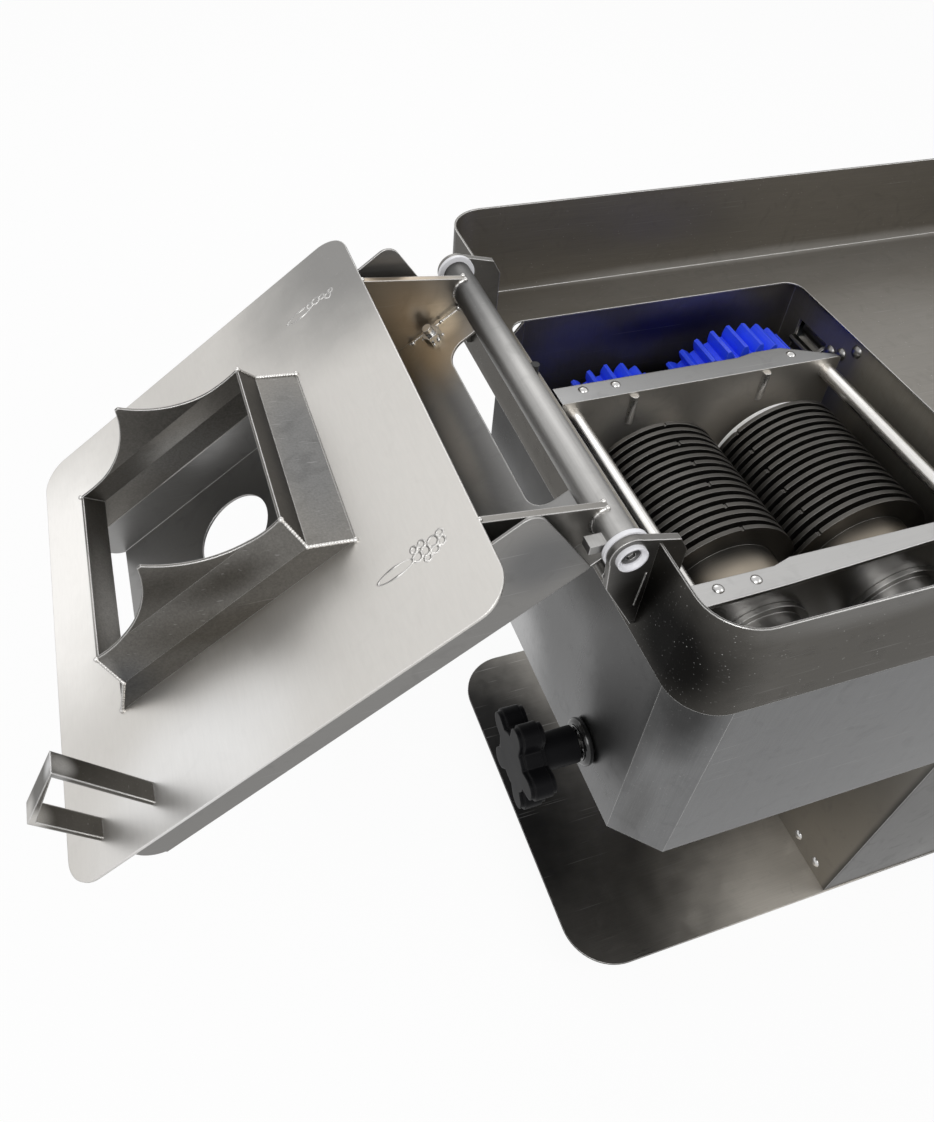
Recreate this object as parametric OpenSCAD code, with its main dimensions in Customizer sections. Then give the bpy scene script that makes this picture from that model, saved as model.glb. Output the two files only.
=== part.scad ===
// Electric strip slicer for fresh meat, with its lid swung open.
// All lengths are in millimetres. Sizes in the sections below are measured from the lid's
// hinge axis: x runs to the right along the machine, y runs to the back, z runs up.

/* [Base] */
// Left edge of the base plate, right of the hinge axis
base_left = 46; // [40:1:60]
// Length of the base plate
base_length = 574; // [560:1:640]
// Front edge of the base plate, ahead of the hinge zero
base_front = -38.5; // [-45:0.5:-38]
// Depth of the base plate, front to back
base_depth = 338; // [330:1:360]
// Thickness of the base plate
base_sheet = 2; // [1.5:0.5:4]
// Corner radius of the base plate
base_corner_r = 45; // [20:1:60]
// Height of the hinge axis above the base plate
axis_height = 510; // [480:1:560]
// Diameter of a rubber foot
foot_d = 40; // [30:1:50]
// Height of a rubber foot
foot_h = 25; // [15:1:40]
// Distance of a foot's centre from the edges of the base plate
foot_inset = 42; // [30:1:60]

/* [Housing] */
// Length of the motor housing
housing_length = 300; // [280:1:320]
// Depth of the motor housing
housing_depth = 322; // [300:1:330]
// Sheet thickness of the housing, the chamber and the covers
shell_sheet = 1.5; // [1:0.1:2.5]

/* [Tray] */
// Left outer face of the tray, right of the hinge axis
tray_left = 13.3; // [12:0.1:14]
// Length of the tray
tray_length = 640; // [620:1:700]
// Front outer face of the tray
tray_front = -55.6; // [-62:0.2:-50]
// Depth of the tray, front to back
tray_depth = 370; // [360:1:390]
// Depth of the tray floor under the hinge axis
floor_drop = 60; // [59:0.5:64]
// Height of the tray wall above the floor
tray_wall = 65.2; // [50:0.2:75]
// Sheet thickness of the tray
tray_sheet = 1.2; // [1:0.1:2]
// Outer corner radius of the tray
tray_corner_r = 26; // [15:1:40]
// Height of the low stretch of the left wall, between the hinge ears
low_wall = 24; // [10:1:26]
// Left edge of the opening in the tray floor
opening_left = 50; // [46:0.5:52]
// Right edge of the opening in the tray floor
opening_right = 288.5; // [286:0.5:290]
// Front edge of the opening in the tray floor
opening_front = -22; // [-26:0.5:-12]
// Lip of the tray floor inside the chamber's back wall
opening_lip = 2; // [2:0.5:8]
// Corner radius of the opening
opening_r = 12; // [5:0.5:16]

/* [Chamber] */
// Left outer face of the cutting chamber
chamber_left = 34.8; // [30:0.2:38]
// Right outer face of the chamber, where the housing starts
chamber_right = 292.5; // [291:0.5:294]
// Front outer face of the chamber
chamber_front = -37.5; // [-38:0.5:-34]
// Room between the gears and the outside of the chamber's back wall
gear_back_room = 20; // [19.6:0.1:24]
// Depth of the chamber's open bottom under the hinge axis
chamber_drop = 269; // [262:1:290]
// Width of the sloping strips at the chamber's left corners
chamber_chamfer = 28; // [15:1:32]

/* [Cutters] */
// Place of the middle between the two cutters, right of the hinge axis
cutter_mid = 178.8; // [177:0.2:180]
// Distance between the two cutter axes
cutter_gap = 102; // [102:0.5:104]
// Depth of the cutter axes under the hinge axis
cutter_drop = 141.7; // [140:0.1:144]
// Radius of a cutting disc
disc_r = 54.5; // [52:0.1:55]
// Thickness of a cutting disc
disc_t = 3; // [2:0.1:3]
// Distance from one cutting disc to the next on the same shaft
disc_pitch = 6.8; // [6.8:0.1:7]
// Number of cutting discs on each shaft
disc_count = 16; // [10:1:16]
// Front face of the first disc on the right shaft
disc_front = 67; // [66:0.5:69]
// Radius of the spacers between the discs
spacer_r = 45; // [30:1:46]
// Number of notches on the rim of every third disc
notch_count = 3; // [3:1:6]
// Radius of a notch
notch_r = 1.2; // [1:0.1:3]
// Radius of a cutter shaft
shaft_r = 11; // [8:0.5:13]
// Radius of the bare drum in front of the discs
drum_r = 40; // [34:0.5:44]
// Radius of the white washer behind the discs
washer_r = 47; // [44:0.5:50]
// Thickness of the white washer
washer_t = 4; // [2:0.5:5]

/* [Cassette] */
// Left edge of the cassette plates
cassette_left = 60; // [59:0.5:62]
// Right edge of the cassette plates
cassette_right = 281; // [279:0.5:282]
// Inner face of the front plate
cassette_front = 29.5; // [27:0.5:31]
// Room between the discs and the back plate
disc_back_room = 18.7; // [18.7:0.1:20.2]
// Thickness of the cassette plates
plate_t = 3; // [2:0.5:4]
// Depth of the cassette's top under the hinge axis
cassette_top = 73; // [72:0.5:76]
// Depth of the cassette's bottom under the hinge axis
cassette_bottom = 250; // [246:1:254]
// Width of the bent flange on top of the front plate, at its left end
flange_w = 16; // [12:0.5:18]
// Width of the bent flange on top of the back plate
back_flange_w = 20; // [16:0.5:22]
// Radius of a tie rod
rod_r = 5.5; // [3:0.5:6]
// Depth of the upper tie rods under the hinge axis
rod_upper_drop = 84; // [82:0.5:90]
// Depth of the lower tie rods under the hinge axis
rod_lower_drop = 236; // [230:0.5:240]
// Distance of a tie rod from the side edge of the cassette
rod_inset = 9.5; // [8:0.5:14]
// Thickness of a comb finger
finger_t = 2.6; // [2:0.1:2.8]

/* [Gears] */
// Gear module
gear_module = 4; // [4:0.5:4]
// Teeth of the gear on the right cutter
right_teeth = 30; // [30:1:30]
// Teeth of the gear on the left cutter
left_teeth = 21; // [21:1:21]
// Teeth of the drive pinion
pinion_teeth = 12; // [12:1:12]
// Room between the back plate and the gears
gear_front_room = 30.5; // [28.5:0.5:34.5]
// Face width of the gears
gear_w = 28; // [16:0.5:30]
// Play between meshing teeth, measured along the pitch circle
backlash = 0.6; // [0.3:0.05:0.9]
// Direction from the right cutter to the drive pinion, degrees above the horizontal
pinion_angle = 20; // [18:0.5:24]

/* [Lid] */
// Left edge of the lid plate when the lid is closed
lid_left = 42.6; // [40:0.2:44]
// Length of the lid plate
lid_length = 257.6; // [250:0.2:262]
// Front edge of the lid plate
lid_front = -16.4; // [-20:0.2:-14]
// Width of the lid plate
lid_width = 300; // [294:1:306]
// Thickness of the lid plate
lid_sheet = 1.5; // [1:0.1:3]
// Depth of the lid's inner face under the hinge axis when closed
lid_drop = 52.2; // [50:0.1:53]
// Corner radius of the lid plate
lid_corner_r = 18; // [8:1:30]
// Angle through which the lid opens
lid_travel = 216; // [200:1:216]

/* [Throat] */
// Left edge of the throat where it leaves the lid plate
throat_left = 101; // [98:0.5:106]
// Right edge of the throat where it leaves the lid plate
throat_right = 255.5; // [252:0.5:260]
// Front edge of the throat at the lid plate
throat_front = 61.7; // [58:0.1:64]
// Back edge of the throat at the lid plate
throat_back = 194.7; // [192:0.1:198]
// How far the side walls of the throat lean in
throat_lean_x = 17.5; // [10:0.5:20]
// How far the front and back walls of the throat lean in
throat_lean_y = 8; // [5:0.5:9]
// Depth of the first bend under the lid plate
bend_1 = 15; // [10:0.5:18]
// Depth of the second bend under the lid plate
bend_2 = 32; // [28:0.5:36]
// Depth of the side walls' free edge under the lid plate
collar_h = 31; // [26:0.5:32]
// Depth of the peak between the two scoops
peak_h = 59; // [50:0.5:60]
// Gap between the scoops and the cutting discs
scoop_gap = 4; // [3:0.5:6]

/* [Hood] */
// Front outer face of the hood
hood_front = 13; // [11:0.5:16]
// Back outer face of the hood
hood_back = 240; // [237:0.5:242]
// Height of the hood's top face above the hinge axis
hood_rise = 5; // [4:0.1:6]
// Hinge end of the hood's side walls
hood_left = 18.5; // [18:0.5:22]
// Open end of the hood
hood_right = 292; // [280:1:294]
// Radius of the rounded corners of the side walls
hood_corner_r = 8; // [4:0.5:12]
// Radius of the round hole in the hood
hole_r = 27; // [20:0.5:30]
// Place of the round hole along the hood
hole_x = 203; // [190:1:210]
// Place of the round hole across the hood
hole_y = 185; // [170:1:195]
// Right end of the notch beside the hinge tube
notch_right = 30; // [24:1:36]
// Front end of the notch beside the hinge tube
notch_front = 58; // [50:1:70]
// Back end of the notch beside the hinge tube
notch_back = 198; // [180:1:205]
// Corner radius of the notch
notch_corner_r = 12; // [5:0.5:16]
// Middle of the front gusset
gusset_front = 28.5; // [26:0.5:36]
// Middle of the back gusset
gusset_back = 228.6; // [220:0.2:230]
// Thickness of a gusset
gusset_t = 4; // [3:0.5:5]
// Right end of a gusset
gusset_right = 80; // [60:1:95]

/* [Strap] */
// Left leg of the strap when the lid is closed
strap_left = 243; // [236:0.5:246]
// Right leg of the strap when the lid is closed
strap_right = 277; // [270:0.5:277]
// Middle of the strap across the lid
strap_mid = 6; // [4:0.5:8]
// Width of the strap's flat bar
strap_w = 11; // [8:0.5:14]
// Thickness of the strap's flat bar
strap_t = 2.5; // [2:0.1:4]
// Length of the left leg
strap_long = 57.5; // [50:0.5:60]
// Length of the right leg
strap_short = 40; // [34:0.5:40]

/* [Hinge] */
// Radius of the hinge tube
tube_r = 8.6; // [8:0.1:9]
// Radius of the tube's bore
tube_bore_r = 6.2; // [5:0.1:6.6]
// Thickness of a hinge ear
ear_t = 4; // [3:0.5:5]
// Radius of the rounded top of an ear
ear_r = 10.5; // [10:0.5:12]
// How far a bush stands out of its ear
bush_proud = 2.5; // [1.5:0.5:4]
// Radius of the bush's nose
bush_r = 7.65; // [7:0.05:8]
// Radius of the bush's flange
bush_flange_r = 11.5; // [10.5:0.5:12.5]
// Thickness of the bush's flange
bush_flange_t = 2.5; // [1.5:0.5:4]
// Radius of a pivot pin
pivot_r = 4; // [3:0.1:5]
// Distance between the outer faces of the two bushes
hinge_length = 256; // [254:1:258]

/* [Clamp knob] */
// Place of the knob's axis across the machine
knob_y = 39; // [38:0.5:45]
// Radius over the lobes of the star knob
knob_r = 36; // [28:0.5:40]
// Thickness of the star
knob_t = 18; // [14:0.5:26]
// Number of lobes
knob_lobes = 5; // [4:1:7]
// Radius of the knob's hub
knob_hub_r = 13; // [10:0.5:16]
// Length of the knob's hub
knob_hub = 27; // [14:0.5:30]
// Bare length of screw between hub and wall ring
knob_bare = 9; // [8:0.5:12]
// Radius of the clamp screw
screw_r = 5; // [4:0.5:6]
// Travel of the clamp
clamp_travel = 6; // [3:0.5:6]

/* [Drive] */
// Radius of the motor body
motor_r = 55; // [45:1:60]
// Length of the motor body
motor_length = 130; // [100:1:140]
// Depth of the motor's axis under the output shaft
worm_offset = 42; // [36:1:50]
// Radius of the output shaft
drive_shaft_r = 8; // [6:0.5:9]

/* [Controls] */
// Distance of the switch plate from the left side of the housing
panel_inset = 150; // [130:1:180]
// Depth of the push buttons under the hinge axis
panel_drop = 170; // [150:1:220]
// Radius of a push button
button_r = 11; // [8:0.5:13]
// Travel of a push button
button_travel = 3; // [2:0.5:4]

/* [Hidden] */
$fn = 64;

// One overrun for every cut that goes right through
over = 1;
// Gap between parts that are close but must not touch
gap = 0.3;
// Running clearance of a shaft or pin in its bore, on the radius
run = 0.05;

// Colours as the photograph shows them
steel = "#b9b8b4";
steel_dark = "#6f6b65";
steel_bright = "#d9d9d6";
black = "#17181a";
white = "#e6e6ea";
blue = "#2a3fd8";

// Levels and places that follow from the driving sizes
ground_z = -axis_height - base_sheet - foot_h;
floor_z = -floor_drop;
rim_z = floor_z + tray_wall;
under_z = floor_z - tray_sheet;
lid_open = 360 - lid_travel;
tray_right = tray_left + tray_length;
tray_back = tray_front + tray_depth;
housing_left = chamber_right;
housing_right = housing_left + housing_length;
// From the discs backwards: back plate, gears, and the chamber's back wall
disc_back = disc_front + disc_pitch * disc_count;
cassette_back = disc_back + disc_back_room;
gear_front = cassette_back + plate_t + gear_front_room;
gear_back = gear_front + gear_w;
chamber_back = gear_back + gear_back_room;
opening_back = chamber_back - opening_lip;
// Step from the back of the chamber to the back of the housing
housing_step = 8.5;
housing_back = chamber_back + housing_step;
housing_front = housing_back - housing_depth;
ear_front_y = bush_proud;
ear_back_y = hinge_length - bush_proud - ear_t;
strap_reach = lid_drop + strap_short;
// Left end of the machine: the outer corner of the strap while the lid is open
left_end = (strap_right + strap_t / 2) * cos(lid_open) - strap_reach * sin(lid_open);
centre_x = (left_end + tray_right) / 2;
centre_y = tray_front + tray_depth / 2;

left_x = cutter_mid - cutter_gap / 2;
right_x = cutter_mid + cutter_gap / 2;
right_pitch_r = gear_module * right_teeth / 2;
left_pitch_r = gear_module * left_teeth / 2;
pinion_pitch_r = gear_module * pinion_teeth / 2;
pinion_x = right_x + (right_pitch_r + pinion_pitch_r) * cos(pinion_angle);
pinion_z = -cutter_drop + (right_pitch_r + pinion_pitch_r) * sin(pinion_angle);
shaft_tail = 2;
gear_shaft_end = gear_back + shaft_tail;
washer_gap = 1;
// Thickness of the drive pinion's front cheek
cheek_t = 3;

module place() {
    translate([-centre_x, -centre_y, -ground_z]) children();
}

// The lid is drawn closed and turned to its open rest about the hinge axis
module place_lid() {
    place() rotate([0, lid_open, 0]) children();
}

// Plate in the xz plane, from y = a towards the back, t thick
module wall_xz(a, t) {
    translate([0, a + t, 0]) rotate([90, 0, 0]) linear_extrude(t) children();
}

// Plate in the yz plane, from x = a to the right, t thick
module wall_yz(a, t) {
    translate([a, 0, 0]) rotate([90, 0, 90]) linear_extrude(t) children();
}

// Round bar along y
module bar_y(x, z, y0, y1, r) {
    translate([x, y1, z]) rotate([90, 0, 0]) cylinder(r = r, h = y1 - y0);
}

// Round bar along x
module bar_x(y, z, x0, x1, r) {
    translate([x0, y, z]) rotate([0, 90, 0]) cylinder(r = r, h = x1 - x0);
}

// Rectangle with four equal round corners, drawn with true arcs
module round_rect(x0, y0, x1, y1, r) {
    difference() {
        translate([x0, y0]) square([x1 - x0, y1 - y0]);
        for (c = [[x0, y0, 0], [x1, y0, 90], [x1, y1, 180], [x0, y1, 270]])
            translate([c[0], c[1]]) rotate(c[2]) difference() {
                translate([-over, -over]) square([r + over, r + over]);
                translate([r, r]) circle(r = r);
            }
    }
}

// Base plate and what stands on it
module base_plate() {
    color(steel) place() translate([0, 0, -axis_height - base_sheet]) linear_extrude(base_sheet)
        round_rect(base_left, base_front, base_left + base_length, base_front + base_depth, base_corner_r);
}

foot_land = 3;
foot_taper = 3;
module rubber_feet() {
    color(black) place() for (x = [base_left + foot_inset, base_left + base_length - foot_inset])
        for (y = [base_front + foot_inset, base_front + base_depth - foot_inset])
            translate([x, y, ground_z]) {
                cylinder(r = foot_d / 2, h = foot_land);
                translate([0, 0, foot_land])
                    cylinder(r1 = foot_d / 2, r2 = foot_d / 2 - foot_taper, h = foot_h - foot_land);
            }
}

housing_h = axis_height - floor_drop - tray_sheet;
cover_margin = 30;
cover_low = 60;
cover_high = 70;
// The slot in both walls lets the drive pinion and the rim of the right gear through
slot_gap = 1.5;
slot_y0 = gear_front - washer_gap - cheek_t - slot_gap;
slot_y1 = gear_back + slot_gap;
slot_top = pinion_z + pinion_pitch_r + gear_module + slot_gap;
slot_bottom = -cutter_drop - disc_r / 2;
panel_w = 110;
panel_h = 70;
panel_x = housing_left + panel_inset;
button_gap = 50;
stem_r = 4;
gland_r = 10;
gland_x = housing_right - 45;
gland_rise = 27;
foot_lip = 14;

module motor_housing() {
    color(steel) place() difference() {
        union() {
            translate([housing_left, housing_front, -axis_height]) difference() {
                cube([housing_length, housing_depth, housing_h]);
                translate([shell_sheet, shell_sheet, -over])
                    cube([housing_length - 2 * shell_sheet, housing_depth - 2 * shell_sheet,
                        housing_h + 2 * over]);
            }
            // Bent feet that rest on the base plate, inside the walls
            for (x = [housing_left, housing_right - foot_lip])
                translate([x, housing_front, -axis_height]) cube([foot_lip, housing_depth, shell_sheet]);
        }
        // Slot for the drive pinion
        translate([housing_left - over, slot_y0, slot_bottom])
            cube([shell_sheet + 2 * over, slot_y1 - slot_y0, slot_top - slot_bottom]);
        // Service opening at the back
        translate([housing_left + cover_margin, housing_back - shell_sheet - over, -axis_height + cover_low])
            cube([housing_length - 2 * cover_margin, shell_sheet + 2 * over,
                housing_h - cover_low - cover_high]);
        // Holes behind the push buttons
        for (s = [-1, 1]) bar_y(panel_x + s * button_gap / 2, -panel_drop, housing_front - over,
            housing_front + shell_sheet + over, stem_r + 2 * gap);
        // Hole for the cable gland
        bar_y(gland_x, -axis_height + gland_rise, housing_back - shell_sheet - over,
            housing_back + over, gland_r);
    }
}

cover_lap = 12;
louvre_count = 7;
louvre_w = 90;
louvre_h = 5;
louvre_pitch = 13;
module rear_cover() {
    cover_z0 = -axis_height + cover_low - cover_lap;
    cover_height = housing_h - cover_low - cover_high + 2 * cover_lap;
    cover_x0 = housing_left + cover_margin - cover_lap;
    cover_x1 = housing_right - cover_margin + cover_lap;
    color(steel) place() wall_xz(housing_back, shell_sheet) difference() {
        round_rect(cover_x0, cover_z0, cover_x1, cover_z0 + cover_height, cover_lap / 2);
        for (i = [0 : louvre_count - 1]) for (s = [-1, 1])
            translate([(cover_x0 + cover_x1) / 2 + s * louvre_w * 0.6, cover_z0 + 4 * louvre_pitch
                + i * louvre_pitch])
                round_rect(-louvre_w / 2, -louvre_h / 2, louvre_w / 2, louvre_h / 2, louvre_h / 2);
    }
}

// Dome heads of screws: on a wall across x facing the side s, and on the back wall
head_r = 5;
head_h = 3;
// Ball radius of a dome that is head_h high and head_r wide
head_ball = (head_r * head_r + head_h * head_h) / (2 * head_h);
module dome_x(y, z, a, s) {
    translate([a, y, z]) rotate([0, 90 * s, 0]) rotate_extrude() intersection() {
        translate([0, head_h - head_ball]) circle(r = head_ball);
        square([head_r, head_h]);
    }
}
module dome_back(x, z, a) {
    translate([x, a, z]) rotate([-90, 0, 0]) rotate_extrude() intersection() {
        translate([0, head_h - head_ball]) circle(r = head_ball);
        square([head_r, head_h]);
    }
}

module rear_cover_screws() {
    cover_z0 = -axis_height + cover_low - cover_lap / 2;
    cover_z1 = -axis_height + housing_h - cover_high + cover_lap / 2;
    color(steel_bright) place()
        for (x = [housing_left + cover_margin - cover_lap / 2, housing_right - cover_margin + cover_lap / 2])
            for (z = [cover_z0, (cover_z0 + cover_z1) / 2, cover_z1])
                dome_back(x, z, housing_back + shell_sheet);
}

// Dome screws low on the housing's left wall
low_screw_rise = 14;
low_screw_front = [50.5, 22.5];
low_screw_back = 54.5;
module housing_screws() {
    low_screw_y = [housing_front + low_screw_front[0], housing_front + low_screw_front[1],
        housing_back - low_screw_back];
    color(steel_bright) place() for (y = low_screw_y)
        dome_x(y, -axis_height + low_screw_rise, housing_left, -1);
}

// Tray with its tall wall, the opening over the chamber and the low stretch at the hinge
module tray() {
    color(steel) place() difference() {
        translate([0, 0, under_z]) linear_extrude(tray_wall + tray_sheet)
            round_rect(tray_left, tray_front, tray_right, tray_back, tray_corner_r);
        translate([0, 0, floor_z]) linear_extrude(tray_wall + over)
            round_rect(tray_left + tray_sheet, tray_front + tray_sheet, tray_right - tray_sheet,
                tray_back - tray_sheet, tray_corner_r - tray_sheet);
        translate([0, 0, under_z - over]) linear_extrude(tray_sheet + 2 * over)
            round_rect(opening_left, opening_front, opening_right, opening_back, opening_r);
        // Low stretch between and under the ears
        translate([tray_left - over, ear_front_y, floor_z + low_wall])
            cube([tray_sheet + 2 * over, ear_back_y + ear_t - ear_front_y, tray_wall]);
    }
}

// Cutting chamber: four walls with sloping corner strips at the left, open above and below
module chamber_outline(d) {
    c = chamber_chamfer + d * (sqrt(2) - 1);
    x0 = chamber_left;
    y0 = chamber_front;
    y1 = chamber_back;
    polygon([[x0 + d, y0 + c], [x0 + c, y0 + d], [chamber_right - d, y0 + d], [chamber_right - d, y1 - d],
        [x0 + c, y1 - d], [x0 + d, y1 - c]]);
}

knob_z = -rod_lower_drop;
module chamber_shell() {
    color(steel) place() difference() {
        translate([0, 0, -chamber_drop]) linear_extrude(chamber_drop + under_z) difference() {
            chamber_outline(0);
            chamber_outline(shell_sheet);
        }
        // Slot for the drive pinion and the rim of the right gear
        translate([chamber_right - shell_sheet - over, slot_y0, slot_bottom])
            cube([shell_sheet + 2 * over, slot_y1 - slot_y0, slot_top - slot_bottom]);
        // Hole for the clamp screw
        bar_x(knob_y, knob_z, chamber_left - over, chamber_left + shell_sheet + over, screw_r + gap);
    }
}

// Bolts that hold the chamber to the housing, seen on its right wall
bolt_yz = [[216, 86], [205, 81], [192, 70], [-10, 78], [-10, 240], [240, 240]];
module chamber_bolts() {
    color(steel_bright) place() for (b = bolt_yz)
        dome_x(b[0], -b[1], chamber_right - shell_sheet, -1);
}

rail_w = 12;
rail_t = 3;
module cassette_rails() {
    color(steel) place() for (y = [cassette_front - plate_t / 2, cassette_back + plate_t / 2])
        translate([chamber_left + shell_sheet, y - rail_w / 2, -cassette_bottom - rail_t])
            cube([chamber_right - chamber_left - 2 * shell_sheet, rail_w, rail_t]);
}

// Hinge ears: a round top about the hinge axis, a shoulder inside the tray, a point outside it
ear_shoulder = [25, 4.3];
ear_inside = 30;
ear_point_drop = 53.5;
ear_side = [-9.9, -2.5];
ear_waist = [-8.4, -20.6];
module ear_outline() {
    difference() {
        polygon([ear_side, [0, 0], [ear_r * 0.34, ear_r * 0.92], ear_shoulder,
            [ear_inside, -ear_shoulder[1]], [ear_inside, floor_z], [tray_left + tray_sheet, floor_z],
            [tray_left, under_z], [tray_left, -ear_point_drop],
            [tray_left - 2 * tray_sheet, -ear_point_drop], ear_waist]);
        // Room for the low stretch of the tray's left wall
        translate([tray_left, under_z - over]) square([tray_sheet, low_wall + tray_sheet + over]);
    }
}
module ear(y) {
    difference() {
        union() {
            wall_xz(y, ear_t) ear_outline();
            bar_y(0, 0, y, y + ear_t, ear_r);
        }
        bar_y(0, 0, y - over, y + ear_t + over, bush_r);
    }
}
module front_ear() { color(steel) place() ear(ear_front_y); }
module back_ear() { color(steel) place() ear(ear_back_y); }

// Pins on the ears, against which the hood rests when the lid is open
stop_r = 2.5;
stop_length = 12;
stop_x = 14.5;
stop_out = hood_rise + stop_r + gap;
module lid_stops() {
    x = stop_x * cos(lid_open) + stop_out * sin(lid_open);
    z = -stop_x * sin(lid_open) + stop_out * cos(lid_open);
    color(steel) place() {
        bar_y(x, z, ear_front_y + ear_t, ear_front_y + ear_t + stop_length, stop_r);
        bar_y(x, z, ear_back_y - stop_length, ear_back_y, stop_r);
    }
}

// White plastic bushes with a flange between ear and tube
module bush() {
    difference() {
        union() {
            cylinder(r = bush_r, h = bush_proud + ear_t + bush_flange_t);
            translate([0, 0, bush_proud + ear_t]) cylinder(r = bush_flange_r, h = bush_flange_t);
        }
        translate([0, 0, -over]) cylinder(r = pivot_r + run, h = hinge_length);
        translate([0, 0, -over])
            cylinder(r = pivot_head_r + gap, h = pivot_sunk + pivot_head_h + 2 * run + over);
        // Dished nose
        translate([0, 0, -over]) cylinder(r1 = bush_r - bush_lip + over, r2 = pivot_head_r + gap / 2,
            h = bush_dish + over);
    }
}
pivot_head_r = 4.8;
pivot_head_h = 3.6;
pivot_sunk = 2.6;
bush_lip = 1;
bush_dish = 2;
module front_bush() { color(white) place() rotate([-90, 0, 0]) bush(); }
module back_bush() { color(white) place() translate([0, hinge_length, 0]) rotate([90, 0, 0]) bush(); }

buffer_r = 3;
buffer_x = 46.2;
buffer_y = [45, 215];
buffer_gap = 0.5;
module lid_buffers() {
    color(black) place() for (y = buffer_y)
        translate([buffer_x, y, floor_z]) cylinder(r = buffer_r, h = floor_drop - lid_drop - buffer_gap);
}

// The lid, drawn closed
tube_y0 = bush_proud + ear_t + bush_flange_t + gap;
tube_y1 = hinge_length - tube_y0;
lid_top = -lid_drop + lid_sheet;
module lid_plate() {
    color(steel_bright) place_lid() translate([0, 0, -lid_drop]) linear_extrude(lid_sheet) difference() {
        round_rect(lid_left, lid_front, lid_left + lid_length, lid_front + lid_width, lid_corner_r);
        translate([throat_left, throat_front])
            square([throat_right - throat_left, throat_back - throat_front]);
    }
}

// Section of a throat wall: out from the plate, a first bend, a second bend, a free edge
function lean_section(p0, lean, h1, h2, h3) =
    [[p0, 0], [p0 + lean, -h1], [p0 + lean, -h3], [p0 + lean + sign(lean) * shell_sheet, -h3],
     [p0 + lean + sign(lean) * shell_sheet, -h1 + sign(lean) * 0], [p0 + sign(lean) * lean_foot, 0]];
lean_foot = 2;

module throat_side(p0, lean) {
    // Side walls lean in straight from the plate, then run square to it
    intersection() {
        wall_xz(throat_front, throat_back - throat_front) translate([0, -lid_drop])
            polygon(lean_section(p0, lean, bend_1, bend_2, collar_h));
        wall_yz(throat_left, throat_right - throat_left) translate([0, -lid_drop])
            polygon([[throat_front, over], [throat_front, -bend_1],
                [throat_front + throat_lean_y, -bend_2], [throat_back - throat_lean_y, -bend_2],
                [throat_back, -bend_1], [throat_back, over]]);
    }
}

module throat_face(y0, lean) {
    // Front and back walls run square to the plate, lean in, then end in the scooped tongue
    s = sign(lean) * shell_sheet;
    intersection() {
        wall_yz(throat_left, throat_right - throat_left) translate([0, -lid_drop])
            polygon([[y0, 0], [y0, -bend_1], [y0 + lean, -bend_2], [y0 + lean, -peak_h],
                [y0 + lean + s, -peak_h], [y0 + lean + s, -bend_2], [y0 + s, -bend_1], [y0 + s, 0]]);
        wall_xz(throat_front, throat_back - throat_front) difference() {
            polygon([[throat_left, -lid_drop], [throat_left + throat_lean_x, -lid_drop - bend_1],
                [throat_left + throat_lean_x, -lid_drop - peak_h],
                [throat_right - throat_lean_x, -lid_drop - peak_h],
                [throat_right - throat_lean_x, -lid_drop - bend_1], [throat_right, -lid_drop]]);
            for (x = [left_x, right_x]) translate([x, -cutter_drop])
                circle(r = disc_r + scoop_gap, $fn = 128);
        }
    }
}

module throat() {
    color(steel_dark) place_lid() union() {
        throat_side(throat_left, throat_lean_x);
        throat_side(throat_right, -throat_lean_x);
        throat_face(throat_front, throat_lean_y);
        throat_face(throat_back, -throat_lean_y);
    }
}

// Hood over the throat: two side walls and a top sheet that runs on to the hinge tube
web_left = tube_r / 2;
// The side walls run on past the top sheet at the open end, with a rounded corner
hood_overhang = 8;
hood_end_r = 13;
module hood() {
    hood_end = hood_right + hood_overhang;
    color(steel) place_lid() difference() {
        union() {
            for (y = [hood_front, hood_back - shell_sheet]) wall_xz(y, shell_sheet) difference() {
                translate([hood_left, lid_top])
                    square([hood_end - hood_left, hood_rise - lid_top]);
                translate([hood_left, lid_top]) difference() {
                    translate([-over, -over]) square([hood_corner_r + over, hood_corner_r + over]);
                    translate([hood_corner_r, hood_corner_r]) circle(r = hood_corner_r);
                }
                translate([hood_end, hood_rise]) difference() {
                    translate([-hood_end_r, -hood_end_r]) square([hood_end_r + over, hood_end_r + over]);
                    translate([-hood_end_r, -hood_end_r]) circle(r = hood_end_r);
                }
            }
            translate([web_left, hood_front, hood_rise - shell_sheet])
                cube([hood_right - web_left, hood_back - hood_front, shell_sheet]);
        }
        // Notch beside the hinge tube
        translate([0, 0, -over]) linear_extrude(hood_rise + 2 * over)
            round_rect(-notch_right, notch_front, notch_right, notch_back, notch_corner_r);
        // Round hole
        translate([hole_x, hole_y, -over]) cylinder(r = hole_r, h = hood_rise + 2 * over);
        // The hinge tube
        bar_y(0, 0, 0, hinge_length, tube_r);
    }
}

module gusset(y) {
    wall_xz(y - gusset_t / 2, gusset_t) difference() {
        polygon([[0, 0], [0, hood_rise - shell_sheet], [gusset_right * 0.75, hood_rise - shell_sheet],
            [gusset_right, lid_top], [lid_left, lid_top], [-tube_r * 0.5, -tube_r * 0.93]]);
        circle(r = tube_r);
    }
}
module front_gusset() { color(steel) place_lid() gusset(gusset_front); }
module back_gusset() { color(steel) place_lid() gusset(gusset_back); }

lug_y0 = 10.5;
lug_y1 = 18;
lug_reach = 17;
lug_t = 5;
lug_angle = 36;
module hinge_tube() {
    color(steel) place_lid() difference() {
        union() {
            bar_y(0, 0, tube_y0, tube_y1, tube_r);
            // Small lug welded on beside the front ear
            wall_xz(lug_y0, lug_y1 - lug_y0) rotate(-lug_angle) translate([0, -lug_t / 2])
                square([lug_reach, lug_t]);
        }
        bar_y(0, 0, tube_y0 - over, tube_y1 + over, tube_bore_r);
    }
}

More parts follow.
